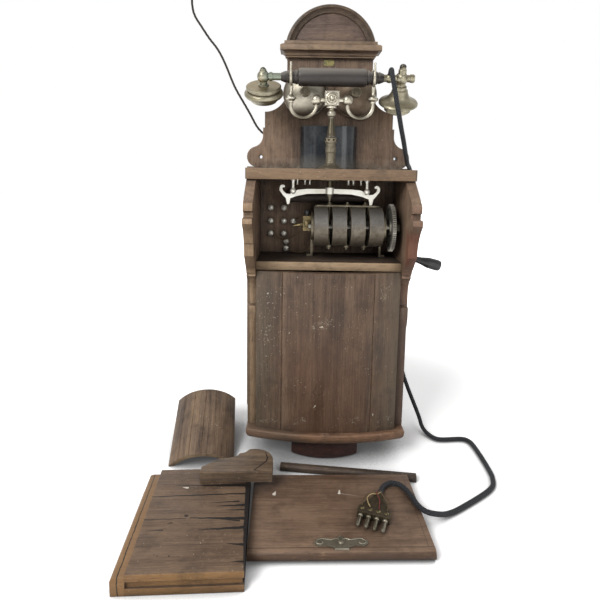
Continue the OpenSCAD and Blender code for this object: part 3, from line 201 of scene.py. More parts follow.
def oiledWood(name, look):
    # oiled walnut, planed, a century old: fibres and figure along the board, open pores, painted shade in
    # the corners, bare tan along the edges, and pale specks of dust
    finish, tree, shader = newFinish(name)
    place = addNode(tree, "TexCoord")
    # mm, along the piece
    local = addNode(tree, "Mapping", {"vector_type": "TEXTURE", "Location": look.get("middle", (0, 0, 0)),
        "Rotation": (math.radians(look.get("lean", 0)), 0, math.radians(look.get("turn", 0))),
        "Scale": (0.001, 0.001, 0.001), "Vector": place.outputs["Object"]})
    # for each noise mm across and along the grain, where in the log, detail, roughness and distortion;
    # pores are 0.3 mm wide on the real board, drawn 0.9 mm wide so that they show
    noises = {"fibre": (1.7, 60, 0.0, 4, 0.62, 0), "figure": (34, 420, look.get("cut", 0.0), 2, 0.5, 0.35),
        "blotch": (38, 70, 3.7, 5, 0.65, 0), "pores": (0.9, 11, 1.3, 2, 0.5, 0),
        "chips": (7, 16, 5.1, 5, 0.7, 0), "scuffs": (2, 14, 8.3, 4, 0.7, 0)}
    grain = {}
    for part, (across, along, shift, detail, rough, bent) in noises.items():
        scale = [1 / across] * 3
        scale["xyz".index(look["grain"])] = 1 / along
        lay = addNode(tree, "Mapping", {"Scale": scale, "Location": (shift, shift, shift), "Vector": local})
        grain[part] = addNode(tree, "TexNoise", {"Scale": 1.0, "Detail": detail, "Roughness": rough,
            "Distortion": bent, "Vector": lay})
    turns = addNode(tree, "Math", {"operation": "MULTIPLY", 0: grain["figure"], 1: agedWood["rings"]})
    rings = addNode(tree, "Math", {"operation": "SINE", 0: turns})
    ringPart = addNode(tree, "Math", {"operation": "MULTIPLY", 0: rings, 1: look.get("figure", 0.05)})
    fibrePart = addNode(tree, "Math", {"operation": "MULTIPLY_ADD", 0: grain["fibre"], 1: 0.45, 2: ringPart})
    shade = addNode(tree, "Math", {"operation": "MULTIPLY_ADD", 0: grain["blotch"], 1: 0.55, 2: fibrePart})
    stains = []
    if "planks" in look:
        # planks side by side: each has its own shade, with a dark seam between
        across = addNode(tree, "SeparateXYZ", {0: local})
        count = addNode(tree, "Math", {"operation": "MULTIPLY_ADD", 0: across, 1: 1 / look["planks"],
            2: 20.5})
        which = addNode(tree, "Math", {"operation": "FLOOR", 0: count})
        chance = addNode(tree, "TexWhiteNoise", {"noise_dimensions": "1D", "W": which})
        lift = addNode(tree, "MapRange", {"To Min": -0.05, "To Max": 0.05, "Value": chance.outputs["Value"]})
        shade = addNode(tree, "Math", {"operation": "ADD", 0: shade, 1: lift})
        share = addNode(tree, "Math", {"operation": "PINGPONG", 0: count, 1: 0.5})
        seam = [mm / look["planks"] for mm in agedWood["seam"]]
        stains.append((look["pore"], areaMask(tree, agedWood["seams"], (share, *seam))))
    colour = addNode(tree, "ValToRGB", {"stops": [(0.32, tone(look["dark"])), (0.5, tone(look["mid"])),
        (0.68, tone(look["pale"]))], "Fac": shade})
    if "front" in look:
        # faces that look one way, such as a sawn front edge, are barer than the rest
        barer = areaMask(tree, 1.0, (facingWay(tree, look["frontWay"]), 0.55, 0.8))
        sawn = addNode(tree, "ValToRGB", {"stops": [(0.3, tone(look["frontDark"])),
            (0.62, tone(look["front"]))], "Fac": shade})
        colour = addNode(tree, "Mix", {"data_type": "RGBA", 0: barer, 6: colour, 7: sawn}).outputs[2]
    pores = areaMask(tree, agedWood["pores"], (grain["pores"], 0.57, 0.68))
    bend, shelter = bendAndShelter(tree, look.get("wearWide", 1.6), agedWood["shadeReach"])
    worn = areaMask(tree, look.get("wear", 0.75), (grain["chips"], 0.42, 0.62), (bend, 0.995, 0.86))
    # painted shade: darker in corners and under things, from ambient occlusion
    paintedShade = areaMask(tree, look.get("cornerShade", 0.6), (shelter, 0.9, 0.35))
    # scuffs of 2 by 14 mm along the grain, and dark stains as wide as a hand, both in patches
    stain = addNode(tree, "TexNoise", {"Scale": 0.035, "Detail": 6.0, "Roughness": 0.66, "Vector": local})
    scuff = addNode(tree, "Math", {"operation": "MULTIPLY_ADD", 0: stain, 1: -0.5, 2: grain["scuffs"]})
    # dust and plaster specks of about 1 mm, thick only in patches
    speck = addNode(tree, "TexNoise", {"Scale": 0.42, "Detail": 1.0, "Vector": local})
    patch = addNode(tree, "TexNoise", {"Scale": 0.016, "Detail": 3.0, "Vector": local})
    dust = addNode(tree, "Math", {"operation": "MULTIPLY_ADD", 0: patch, 1: 0.34, 2: speck})
    dustFrom = look.get("speckFrom", 0.92)
    stains += [(look["pore"], pores), (look["worn"], worn), (look["paintedShade"], paintedShade),
        (look["worn"], areaMask(tree, agedWood["scuffs"], (scuff, 0.34, 0.46))),
        (look["pore"], areaMask(tree, agedWood["stains"], (stain, 0.52, 0.68))),
        (agedWood["dustTone"], areaMask(tree, agedWood["dust"], (dust, dustFrom, dustFrom + 0.05)))]
    if "marks" in look:
        stains += look["marks"](tree, local)
    shine = look.get("shine", 0.45)
    gloss = addNode(tree, "MapRange", {"From Min": 0.3, "From Max": 0.7, "To Min": shine,
        "To Max": shine + 0.25, "Value": grain["blotch"]})
    dent = addNode(tree, "Math", {"operation": "MULTIPLY_ADD", 0: pores, 1: -0.8 / agedWood["pores"],
        2: grain["fibre"]})
    bump = addNode(tree, "Bump", {"Strength": 0.55, "Distance": 0.0005, "Height": dent})
    setNode(tree, shader, {"Base Color": layStains(tree, colour, stains), "Roughness": gloss,
        "Specular IOR Level": 0.35, "Normal": bump})
    return finish


trayScars = {
    "cracks": [((-27, 52), (8, 51.5), (0.5, 0.9)), ((8, 51), (66, 50), (1.6, 3.2)),
        ((-53, 31.5), (62, 33.7), (0.7, 1.3)), ((18, 17.5), (55, 19.5), (0.1, 1.5)),
        ((29, 12), (64, 12.5), (0.3, 2.0)), ((41, 5), (66, 4), (0.2, 1.6)),
        ((-53, -8), (-5, -8), (0.5, 0.5)), ((0, -7), (66, -10.5), (0.6, 2.3)),
        ((30, -9), (58, -14), (0.2, 1.2)), ((-47, -26), (-28, -25.5), (0.2, 0.9)),
        ((12, -26.7), (66, -24.5), (0.5, 2.4)), ((47, -48), (66, -50), (0.3, 1.8)),
        ((53, -73), (66, -73.3), (0.2, 1.3)), ((66.5, 60), (68, -40), (4.6, 3.6)),
        ((68, -40), (69, -84), (3.6, 1.6)), ((-60.6, 84), (-60.6, -86), (0.5, 0.6))],
    "knots": [((-4.5, -3.2), (-3.9, -3), (2.6, 1.6)), ((-13, -63), (-12.6, -63), (0.9, 0.7)),
        ((-25, -62), (-24.7, -62), (0.6, 0.5)), ((-24, -15.5), (-20, -14.5), (0.5, 0.9)),
        ((-29, -60), (-28.7, -60), (0.5, 0.4))],
    "chip": [((-18, 48.3), (-12, 47.2), (0.4, 1.6))],
    "batten": (-53.2, -54.2),   # x where the left batten ends
}


def trayMarks(tree, local):
    # pitch-filled cracks from the right end, knots, a plaster chip, and the newer tan batten
    across = addNode(tree, "SeparateXYZ", {0: local})
    return [("#94714b", areaMask(tree, 0.62, (across, *trayScars["batten"])))] + [
        (stain, scarMask(tree, local, trayScars[scars], 1.2))
        for scars, stain in (("cracks", "#15110f"), ("knots", "#2b1f17"), ("chip", "#d6cdbd"))]


lidScars = {
    "chips": [((-78, 29), (-76.5, 34), (2.4, 0.5)), ((7, 30), (8, 36), (1.7, 0.8))],
    "scratch": [((9.6, 29.7), (32, 24.5), (0.6, 0.15))],
    "lines": [((-105, 61), (105, 61), (0.3, 0.3)), ((-105, -60.5), (105, -60.5), (0.4, 0.4)),
        ((99, -60), (99, 66), (0.2, 0.2))],
}


def lidMarks(tree, local):
    # a thin scribed line inside the edges, two plaster chips and a scratch
    return [(stain, scarMask(tree, local, lidScars[scars], sway)) for scars, stain, sway in
        (("lines", "#2d2018", 0.15), ("scratch", "#a8968a", 1.0), ("chips", "#e2d9cb", 0.8))]


frontWay = (0, -1, 0)
frontSpan = (0.4, 0.7)   # a face counts as a front between these
leftEdge = {   # mm
    "outer": (-113.5, -115.5), "low": (290, 280), "cracks": [(404, 0.8), (372, 0.5), (332, 0.9)],
}


def edgeMarks(tree, local):
    # the left panel's front edge: dark along its outer corner low down, with cross cracks at three heights
    x, _, z = addNode(tree, "SeparateXYZ", {0: local}).outputs
    ahead = (facingWay(tree, frontWay), *frontSpan)
    stains = [("#4a3d32", areaMask(tree, 0.7, (x, *leftEdge["outer"]), (z, *leftEdge["low"]), ahead))]
    for height, wide in leftEdge["cracks"]:
        crack = addNode(tree, "Math", {"operation": "COMPARE", 0: z, 1: height, 2: wide})
        stains.append(("#3c2c20", areaMask(tree, 0.6, (crack, 0, 1), ahead)))
    return stains


ears = {"hole": (105.5, 0, 451), "rim": (3.6, 2.9), "dust": (452, 436), "shelfTop": (433, 433.01)}   # mm


def earMarks(tree, local):
    # painted shade, near-black, in the two screw holes, and grey dust along the top of the shelf
    height = addNode(tree, "SeparateXYZ", {0: local}).outputs[2]
    aside = addNode(tree, "VectorMath", {"operation": "ABSOLUTE", 0: local})
    flat = addNode(tree, "VectorMath", {"operation": "MULTIPLY", 0: aside, 1: (1, 0, 1)})
    away = addNode(tree, "VectorMath", {"operation": "DISTANCE", 0: flat, 1: ears["hole"]})
    cloud = addNode(tree, "TexNoise", {"Scale": 0.09, "Detail": 5.0, "Roughness": 0.7, "Vector": local})
    dust = areaMask(tree, 0.9, (height, *ears["dust"]), (height, *ears["shelfTop"]), (cloud, 0.4, 0.7))
    # the near-black disc round each hole is painted shade
    return [("#857b6c", dust), ("#120d0a", areaMask(tree, 1.0, (away.outputs["Value"], *ears["rim"])))]


rightPatch = {   # mm
    "ragged": 24.0, "top": (368, 356), "foot": (286, 300), "nose": (-48, -62), "greyed": (262, 240),
}


def patchMarks(tree, local):
    # the right panel's lower nose was patched with redder wood, below a ragged line
    _, y, z = addNode(tree, "SeparateXYZ", {0: local}).outputs
    ragged = addNode(tree, "TexNoise", {"Scale": 0.08, "Detail": 3.0, "Vector": local})
    line = addNode(tree, "Math", {"operation": "MULTIPLY_ADD", 0: ragged, 1: rightPatch["ragged"], 2: z})
    patch = areaMask(tree, 0.6, (line, *rightPatch["top"]), (line, *rightPatch["foot"]),
        (y, *rightPatch["nose"]))
    strip = areaMask(tree, 0.65, (line, *rightPatch["greyed"]), (facingWay(tree, frontWay), *frontSpan))
    return [("#6f4130", patch), ("#4b4038", strip)]


coverScars = {
    "chips": [((-12, 209), (-8, 210), (0.5, 1.1)), ((-18, 86), (-16, 90), (0.3, 0.8)),
        ((-87, 255), (-86, 256), (0.8, 0.4)), ((70, 72), (70, 75), (0.3, 0.8)),
        ((-56, 198), (-55, 199), (0.4, 0.4)), ((-13, 225), (-12, 226), (0.5, 0.3))],
    "bare": [((79, 250), (81, 268), (4.0, 6.0)), ((86, 258), (88, 276), (2.0, 4.0)),
        ((82, 62), (93, 66), (3.0, 5.0)), ((-46, 60), (-34, 68), (3.0, 5.0)),
        ((-20, 208), (0, 216), (5.0, 8.0)), ((30, 62), (48, 68), (2.0, 4.0)),
        ((-96, 60), (-70, 62), (3.0, 3.0)), ((-90, 180), (-86, 205), (3.0, 4.0))],
    "ring": [((-15, 118), (-20, 110), (0.7, 0.9)), ((-20, 110), (-14, 105), (0.9, 0.8)),
        ((-14, 105), (-5, 110), (0.8, 0.7)), ((-5, 110), (-4, 118), (0.7, 0.4))],
    # scars, tone, sway in mm, share, and the level of the crumbs that break them up
    "laid": [("bare", "#a39a87", 6.0, 0.7, 0.53), ("ring", "#33261d", 1.5, 0.6, 0.35),
        ("chips", "#c9bfae", 1.5, 0.9, 0.3)],
}


def coverMarks(tree, local):
    # greyed along both long edges, redder low in the middle, with chips, bare patches and a dark ring
    x, _, z = addNode(tree, "SeparateXYZ", {0: local}).outputs
    cloud = addNode(tree, "TexNoise", {"Scale": 0.03, "Detail": 5.0, "Roughness": 0.65, "Vector": local})
    aside = addNode(tree, "Math", {"operation": "ABSOLUTE", 0: x})
    out = addNode(tree, "Math", {"operation": "MULTIPLY_ADD", 0: cloud, 1: 60.0, 2: aside})
    down = addNode(tree, "Math", {"operation": "MULTIPLY_ADD", 0: cloud, 1: 120.0, 2: z})
    stains = [("#5c5649", areaMask(tree, 0.4, (out, 92, 134))),
        ("#5a3f2f", areaMask(tree, 0.4, (down, 300, 200), (out, 96, 70)))]
    flat = addNode(tree, "CombineXYZ", {0: x, 1: z})
    crumbs = addNode(tree, "TexNoise", {"Scale": 0.34, "Detail": 5.0, "Roughness": 0.75, "Vector": local})
    for scars, stain, sway, share, start in coverScars["laid"]:
        mask = scarMask(tree, flat, coverScars[scars], sway)
        stains.append((stain, areaMask(tree, share, (mask, 0, 1), (crumbs, start, start + 0.1))))
    return stains


def bottomMarks(tree, local):
    # the bottom board's left end has gone grey
    across = addNode(tree, "SeparateXYZ", {0: local})
    return [("#594c40", areaMask(tree, 0.55, (across, -25, -60)))]


corbelScars = [((36, 45), (39.5, 33), (0.5, 0.9)), ((39.5, 33), (38.5, 25), (0.9, 1.0)),
    ((38.5, 25), (31, 15), (1.0, 1.0)), ((31, 15), (23, 5), (1.0, 0.8)), ((23, 5), (31, 3.5), (0.8, 0.4))]


def corbelMarks(tree, local):
    # the scroll cut into the bracket's face
    return [("#1d1510", scarMask(tree, local, corbelScars, 0.3))]


def wornMetal(name, look):
    # old metal, plate or varnish: clean where hands rub it, film in patches, painted shade in the corners,
    # which on plate also stands for tarnish in the hollows, fine pits
    finish, tree, shader = newFinish(name)
    clean, filmed, spotted, rubbed, cornerShadeTone = look["tones"]
    place = addNode(tree, "TexCoord").outputs["Object"]
    film = addNode(tree, "TexNoise", {"Scale": 1000 / look.get("filmSize", 14), "Detail": 6.0,
        "Roughness": 0.68, "Vector": place})
    pits = addNode(tree, "TexNoise", {"Scale": 1000 / look.get("pitSize", 1.4), "Detail": 3.0,
        "Roughness": 0.6, "Vector": place})
    colour = addNode(tree, "ValToRGB", {"stops": [(look.get("from", 0.38), tone(clean)),
        (look.get("to", 0.66), tone(filmed))], "Fac": film})
    stains = []
    if "top" in look:
        # the faces that look along topWay get another tone: tarnish on the level faces of the aged nickel,
        # a painted blue-grey sheen on the magnets, and a painted highlight on top of the handle
        level = facingWay(tree, look["topWay"])
        stains.append((look["top"], areaMask(tree, look.get("topShare", 0.85), (level, *look["topFrom"]))))
    for axis, start, stop, stain, share in look.get("bands", []):
        # another tone past a place along the axis, in mm
        along = addNode(tree, "VectorMath", {"operation": "DOT_PRODUCT", 0: place,
            1: [1000 * a for a in axis]})
        stains.append((stain, areaMask(tree, share, (along.outputs["Value"], start, stop))))
    pitFrom = look.get("pitFrom", 0.6)
    bend, shelter = bendAndShelter(tree, 0.9, look.get("shadeReach", 4))
    # the last tone is painted shade in the corners from ambient occlusion; on plate it stands for tarnish in
    # the hollows too
    stains += [(spotted, areaMask(tree, look.get("pits", 0.5), (pits, pitFrom, pitFrom + 0.08))),
        (rubbed, areaMask(tree, 0.6, (bend, 0.99, 0.85))),
        (cornerShadeTone, areaMask(tree, look.get("cornerShade", 0.7), (shelter, 0.8, 0.25)))]
    gloss = addNode(tree, "MapRange", {"From Min": 0.35, "From Max": 0.7, "To Min": look["shine"],
        "To Max": look["shine"] + look.get("dull", 0.22), "Value": film})
    bump = addNode(tree, "Bump", {"Strength": look.get("rough", 0.25), "Distance": 0.0003, "Height": pits})
    setNode(tree, shader, {"Base Color": layStains(tree, colour, stains), "Roughness": gloss,
        "Metallic": look["metal"], "Normal": bump})
    return finish


# the last tone of each set is the painted shade laid in the corners
walnutTones = {"dark": "#503d30", "mid": "#745f4e", "pale": "#8e7762", "pore": "#2e2219", "worn": "#a5876a",
    "paintedShade": "#221913"}
coverTones = {"dark": "#3f3025", "mid": "#5c493b", "pale": "#735e4d", "pore": "#2a1f17", "worn": "#977a5f",
    "paintedShade": "#1f1711"}
fadedTones = {"dark": "#523f31", "mid": "#735c4a", "pale": "#886f5a", "pore": "#3a2b21", "worn": "#a98a6c",
    "paintedShade": "#261b14"}
duskTones = {"dark": "#4a392d", "mid": "#6b584a", "pale": "#86705d", "pore": "#261b14", "worn": "#a08665",
    "paintedShade": "#18110d"}
sawnFront = {"front": "#a88e72", "frontDark": "#836b54", "frontWay": frontWay}

woods = {
    # grey-brown, with more painted shade toward the box
    "walnutUpright": {"on": ["backboard"], **walnutTones, "grain": "z", "cornerShade": 0.85, "marks": earMarks},
    # pale along the sawn front edge
    "walnutLeft": {"on": ["left_side"], **walnutTones, **sawnFront, "grain": "z", "cut": 2.0,
        "marks": edgeMarks},
    # the same, redder in front
    "walnutRight": {"on": ["right_side"], **walnutTones, "front": "#846a59", "frontDark": "#66483a",
        "frontWay": frontWay, "grain": "z", "cut": 3.0, "marks": patchMarks},
    # reddish, shut grain
    "walnutBottom": {"on": ["bottom_board"], **coverTones, "mid": "#70543f", "pale": "#8a6851", "grain": "x",
        "marks": bottomMarks},
    # dusky and even
    "walnutCrest": {"on": ["crest_panel"], **duskTones, "mid": "#65534a", "pale": "#7d6857", "grain": "x",
        "cut": 4.0},
    # dark with old polish
    "walnutArch": {"on": ["crest_arch", "coil_bobbin"], **duskTones, "dark": "#36291f", "mid": "#4f4135",
        "pale": "#665445", "grain": "x", "cut": 4.2},
    # painted shade in the hollows, rubbed bare on the upper moulding
    "walnutCornice": {"on": ["cornice"], **duskTones, "front": "#937d67", "frontDark": "#74614f",
        "frontWay": (0, -0.9, 0.44), "grain": "x", "cut": 4.5, "wear": 0.95, "wearWide": 2.2},
    # pale front edge
    "walnutShelf": {"on": ["shelf"], **walnutTones, **sawnFront, "front": "#90775d", "frontDark": "#6f5946",
        "grain": "x", "cut": 1.0},
    # painted shade: dark above, where the top lies in the box's shade; bare tan in front
    "walnutDivider": {"on": ["divider"], **duskTones, "dark": "#271f1a", "mid": "#382e27", "pale": "#4a3d33",
        **sawnFront, "front": "#bda383", "frontDark": "#967d62", "grain": "x", "cut": 1.6},
    # planks of a dull, darker brown
    "walnutCover": {"on": ["battery_cover"], **coverTones, "grain": "z", "cut": 7.0, "speckFrom": 0.9,
        "figure": 0.07, "planks": 44, "marks": coverMarks},
    # faded flat board
    "walnutLid": {"on": ["desk_lid"], **fadedTones, "grain": "x", "middle": (0.0085, -0.168, 0), "turn": 1.7,
        "cut": 9.0, "speckFrom": 1.0, "front": "#5c4533", "frontDark": "#3f2e22",
        "frontWay": (0.03, -0.999, 0), "marks": lidMarks},
    # cracked board with an orange front edge
    "walnutTray": {"on": ["battery_tray"], **walnutTones, "dark": "#483629", "mid": "#685443",
        "pale": "#7f6853", "grain": "x", "middle": (-0.167, -0.193, 0), "turn": 3.5, "cut": 11.0,
        "front": "#94714a", "frontDark": "#684a31", "frontWay": (0.061, -0.998, 0), "marks": trayMarks},
    # narrow staves with pale ends
    "walnutShell": {"on": ["half_round_cover"], **coverTones, "mid": "#6e5b4a", "pale": "#877059",
        "grain": "y", "middle": (-0.182, -0.0612, 0), "turn": 6.6, "lean": 18.3, "cut": 13.0, "planks": 16,
        "front": "#a58d70", "frontDark": "#7d6750", "frontWay": (0.109, -0.943, -0.314)},
    # plain brown with a cut scroll
    "walnutCorbel": {"on": ["corbel"], **coverTones, "mid": "#695847", "pale": "#7f6b57", "grain": "x",
        "middle": (-0.121, -0.134, 0), "turn": 1, "cut": 15.0, "marks": corbelMarks},
    # nearly black
    "walnutStrip": {"on": ["loose_strip"], **duskTones, "dark": "#2c221b", "mid": "#453930",
        "pale": "#5b4b3f", "grain": "x", "middle": (0.031, -0.08, 0), "turn": -6.3},
    # dark red, with more of its polish left
    "mahoganyFoot": {"on": ["foot"], "dark": "#1f110d", "mid": "#301a14", "pale": "#45251c",
        "pore": "#140907", "worn": "#5d382a", "paintedShade": "#0d0605", "grain": "x", "shine": 0.4,
        "speckFrom": 1.1},
}

metals = {
    # five tones each: clean, under its film, spots, rubbed edges, and painted shade for the corners, with
    # tarnish in the hollows of plate
    # plate rubbed soft by hands, with a warm film and painted shade in the hollows, and down to the brass low
    # on the stem
    "rubbedNickel": {"on": ["cradle_stem", "left_hook", "right_hook"],
        "tones": ("#b9b3a4", "#979080", "#746a57", "#d3cfc2", "#453c2e"), "shine": 0.28, "metal": 0.92,
        "pits": 0.2, "filmSize": 16, "cornerShade": 0.6, "shadeReach": 3, "rough": 0.12,
        "bands": [((0, 0, 1), 516, 503, "#3d3628", 0.92)]},
    # flat pressed plate, bright
    "brightNickel": {"on": ["switch_bar", "switch_contacts"], "tones": ("#d9d8d0", "#c4c0b4", "#8f8672",
        "#e6e4dc", "#4d4434"), "shine": 0.36, "metal": 0.7, "pits": 0.15, "filmSize": 25, "cornerShade": 0.5,
        "shadeReach": 2, "rough": 0.1},
    # pressed plate, dulled by the damp
    "catchNickel": {"on": ["lid_catch"], "tones": ("#8f897a", "#6c6556", "#4d4638", "#b9b4a5", "#2b251c"),
        "shine": 0.36, "metal": 0.8, "pits": 0.3, "shadeReach": 2},
    # plate gone dull and yellow, browned on the level faces, with black fibre caps on the ball joints
    "agedNickel": {"on": ["transmitter", "transmitter_arm", "receiver"],
        "tones": ("#8f8976", "#736d5a", "#524936", "#b9b4a3", "#332c21"), "shine": 0.33, "metal": 0.9,
        "pits": 0.3, "filmSize": 16, "cornerShade": 0.7, "rough": 0.15, "top": "#94866a",
        "topWay": (0, -0.5, 0.866), "topFrom": (0.86, 0.97),
        "bands": [((0, 0, 1), 572, 574, "#262320", 0.9)]},
    # the same with verdigris round the arm's tube
    "greenNickel": {"on": ["receiver_arm"], "tones": ("#8f8976", "#70705f", "#524936", "#b9b4a3", "#332c21"),
        "shine": 0.33, "metal": 0.85, "pits": 0.3, "filmSize": 12, "cornerShade": 0.7, "rough": 0.15,
        "bands": [((1, 0, 0), -98, -92, "#748379", 0.55), ((0, 0, 1), 569, 571, "#2b2824", 0.85)]},
    # soft grey plate on a gong, brown toward its brim
    "dullNickel": {"on": ["gong_left"], "tones": ("#a6a092", "#878071", "#6d6353", "#c9c5b8", "#453c2f"),
        "shine": 0.36, "metal": 0.85, "pits": 0.2, "filmSize": 30, "cornerShade": 0.4, "rough": 0.12,
        "bands": [((0, 1, 0), 27, 34, "#4f4439", 0.88)]},
    # plate worn off brass pins
    "pinNickel": {"on": ["plug_pins"], "tones": ("#7d776a", "#57503f", "#3d372b", "#aaa492", "#231e16"),
        "shine": 0.33, "metal": 0.9, "pits": 0.4},
    # cast bell metal that has lost its plate, brown all over
    "bellBronze": {"on": ["gong_right"], "tones": ("#6d5f50", "#564838", "#3f342a", "#96856f", "#2a2019"),
        "shine": 0.45, "metal": 0.75, "pits": 0.3, "bands": [((0, 1, 0), 31, 37, "#3f352c", 0.75)]},
    # cast plug body, nearly black with yellow flecks
    "darkBronze": {"on": ["cord_plug"], "tones": ("#5d5342", "#443c30", "#8f7d52", "#938a70", "#1d1812"),
        "shine": 0.4, "metal": 0.8, "pits": 0.6, "pitFrom": 0.62, "pitSize": 3},
    # turned brass gone grey-brown, with a little yellow on the edges
    "dullBrass": {"on": ["column_flange", "column_tube", "column_ring", "left_end_plate", "right_end_plate",
        "pinion", "shaft_bush", "wire_eye", "gong_screws"], "tones": ("#787060", "#5c5547", "#40392e",
        "#a0967f", "#30281c"), "shine": 0.38, "metal": 0.85, "pits": 0.4},
    # rolled brass, yellower
    "springBrass": {"on": ["magneto_contact"], "tones": ("#7a6d4d", "#5a4f39", "#403626", "#a99c78",
        "#2e2619"), "shine": 0.3, "metal": 0.9, "pits": 0.35},
    # magnet steel, with a painted blue-grey sheen where the light falls on it, and brown with thin rust below
    "rustyIron": {"on": ["magnets", "pole_shoes", "clapper", "crank_arm"],
        "tones": ("#6d665a", "#574d40", "#4a3a2a", "#9a8b74", "#241d17"), "shine": 0.45, "metal": 0.6,
        "pits": 0.55, "pitFrom": 0.55, "rough": 0.45, "filmSize": 9, "top": "#64676a",
        "topWay": (0, -0.8, 0.6), "topFrom": (0.72, 0.98), "topShare": 0.5},
    # cut steel, grey with a little rust
    "greySteel": {"on": ["drive_gear", "armature", "cradle_spring", "crank_shaft"],
        "tones": ("#aaa79d", "#89847a", "#5b5040", "#c8c5bb", "#352c23"), "shine": 0.34, "metal": 0.8},
    # stoved black varnish on tin, grey with bloom, pitted with rust
    "blackJapan": {"on": ["bell_cover"], "tones": ("#22262b", "#3b3f42", "#2a231c", "#6b6861", "#101011"),
        "shine": 0.12, "dull": 0.12, "metal": 0.0, "pits": 0.7, "pitFrom": 0.6, "pitSize": 4, "rough": 0.3,
        "filmSize": 38, "from": 0.42, "to": 0.6, "bands": [((0, 0, 1), 456, 436, "#69655d", 0.6)]},
    # turned hard rubber, black and half glossy
    "blackEbonite": {"on": ["crank_grip"], "tones": ("#121214", "#1d1c1c", "#2a2724", "#3d3a36", "#080808"),
        "shine": 0.3, "metal": 0.0},
    # the same browned by light, with a painted grey highlight on top
    "brownEbonite": {"on": ["handle"], "tones": ("#1c130e", "#150f0b", "#5d5249", "#9c9388", "#15110e"),
        "shine": 0.42, "metal": 0.0, "filmSize": 24, "pits": 0.25, "top": "#78726a",
        "topWay": (0, -0.45, 0.89), "topFrom": (0.5, 0.98)},
    # silk-covered wire, dark and dull
    "coilWire": {"on": ["bell_coils"], "tones": ("#2c2420", "#211a17", "#453730", "#4f4038", "#0e0b09"),
        "shine": 0.5, "metal": 0.0},
    # yellowed paper sleeve
    "cellPaper": {"on": ["dry_cells"], "tones": ("#a08a63", "#7d6a4b", "#5a4a34", "#b7a47e", "#40331f"),
        "shine": 0.6, "metal": 0.0},
    # worn gilt film over green
    "agedTransfer": {"tones": ("#8f8450", "#39452f", "#2b2a20", "#a89c68", "#2a2419"),
        "shine": 0.45, "metal": 0.2, "filmSize": 7, "from": 0.44, "to": 0.56},
}

cottons = {
    # cotton braid, black, rubbed grey on the high points
    "cottonBraid": {"dark": "#08090a", "mid": "#121316", "pale": "#23252a", "pitch": 5.0, "strands": 4},
    # waxed cotton wound on wire, in four colours
    "blackCotton": {"dark": "#110e0c", "mid": "#1f1a17", "pale": "#3a322b", "pitch": 3.0, "strands": 2},
    "brownCotton": {"dark": "#2a2016", "mid": "#514029", "pale": "#7b6541", "pitch": 3.0, "strands": 2},
    "redCotton": {"dark": "#3a100d", "mid": "#6a1f19", "pale": "#8d3a2f", "pitch": 2.0, "strands": 2},
    "creamCotton": {"dark": "#7a6438", "mid": "#b39a62", "pale": "#d2bf90", "pitch": 2.0, "strands": 2},
}


def braidFinish(name, look):
    # cotton braid: two sets of strands that cross, in the tube's own UV, with lint and rubbed high points
    finish, tree, shader = newFinish(name)
    along, around = addNode(tree, "SeparateXYZ", {0: addNode(tree, "UVMap")}).outputs[:2]
    passed = addNode(tree, "Math", {"operation": "MULTIPLY", 0: along, 1: 1000 / look["pitch"]})
    waves = []
    for way in (1, -1):
        end = addNode(tree, "Math", {"operation": "MULTIPLY_ADD", 0: around, 1: way * look["strands"],
            2: passed})
        angle = addNode(tree, "Math", {"operation": "MULTIPLY", 0: end, 1: 2 * math.pi})
        waves.append(addNode(tree, "Math", {"operation": "SINE", 0: angle}))
    weave = addNode(tree, "Math", {"operation": "MAXIMUM", 0: waves[0], 1: waves[1]})
    place = addNode(tree, "TexCoord")
    lint = addNode(tree, "TexNoise", {"Scale": 700.0, "Detail": 3.0, "Vector": place.outputs["Object"]})
    height = addNode(tree, "Math", {"operation": "MULTIPLY_ADD", 0: lint, 1: 0.5, 2: weave})
    body = addNode(tree, "ValToRGB", {"stops": [(0.1, tone(look["dark"])), (0.8, tone(look["mid"])),
        (1.0, tone(look["pale"]))], "Fac": height})
    bump = addNode(tree, "Bump", {"Strength": 0.8, "Distance": 0.0005, "Height": height})
    setNode(tree, shader, {"Base Color": body, "Roughness": 0.8, "Sheen Weight": 0.03, "Normal": bump})
    return finish


finishes = {}
for makeFinish, looks in ((oiledWood, woods), (wornMetal, metals), (braidFinish, cottons)):
    finishes.update({name: makeFinish(name, look) for name, look in looks.items()})
print("finishes mixed:", len(finishes))


# Numpy surfaces

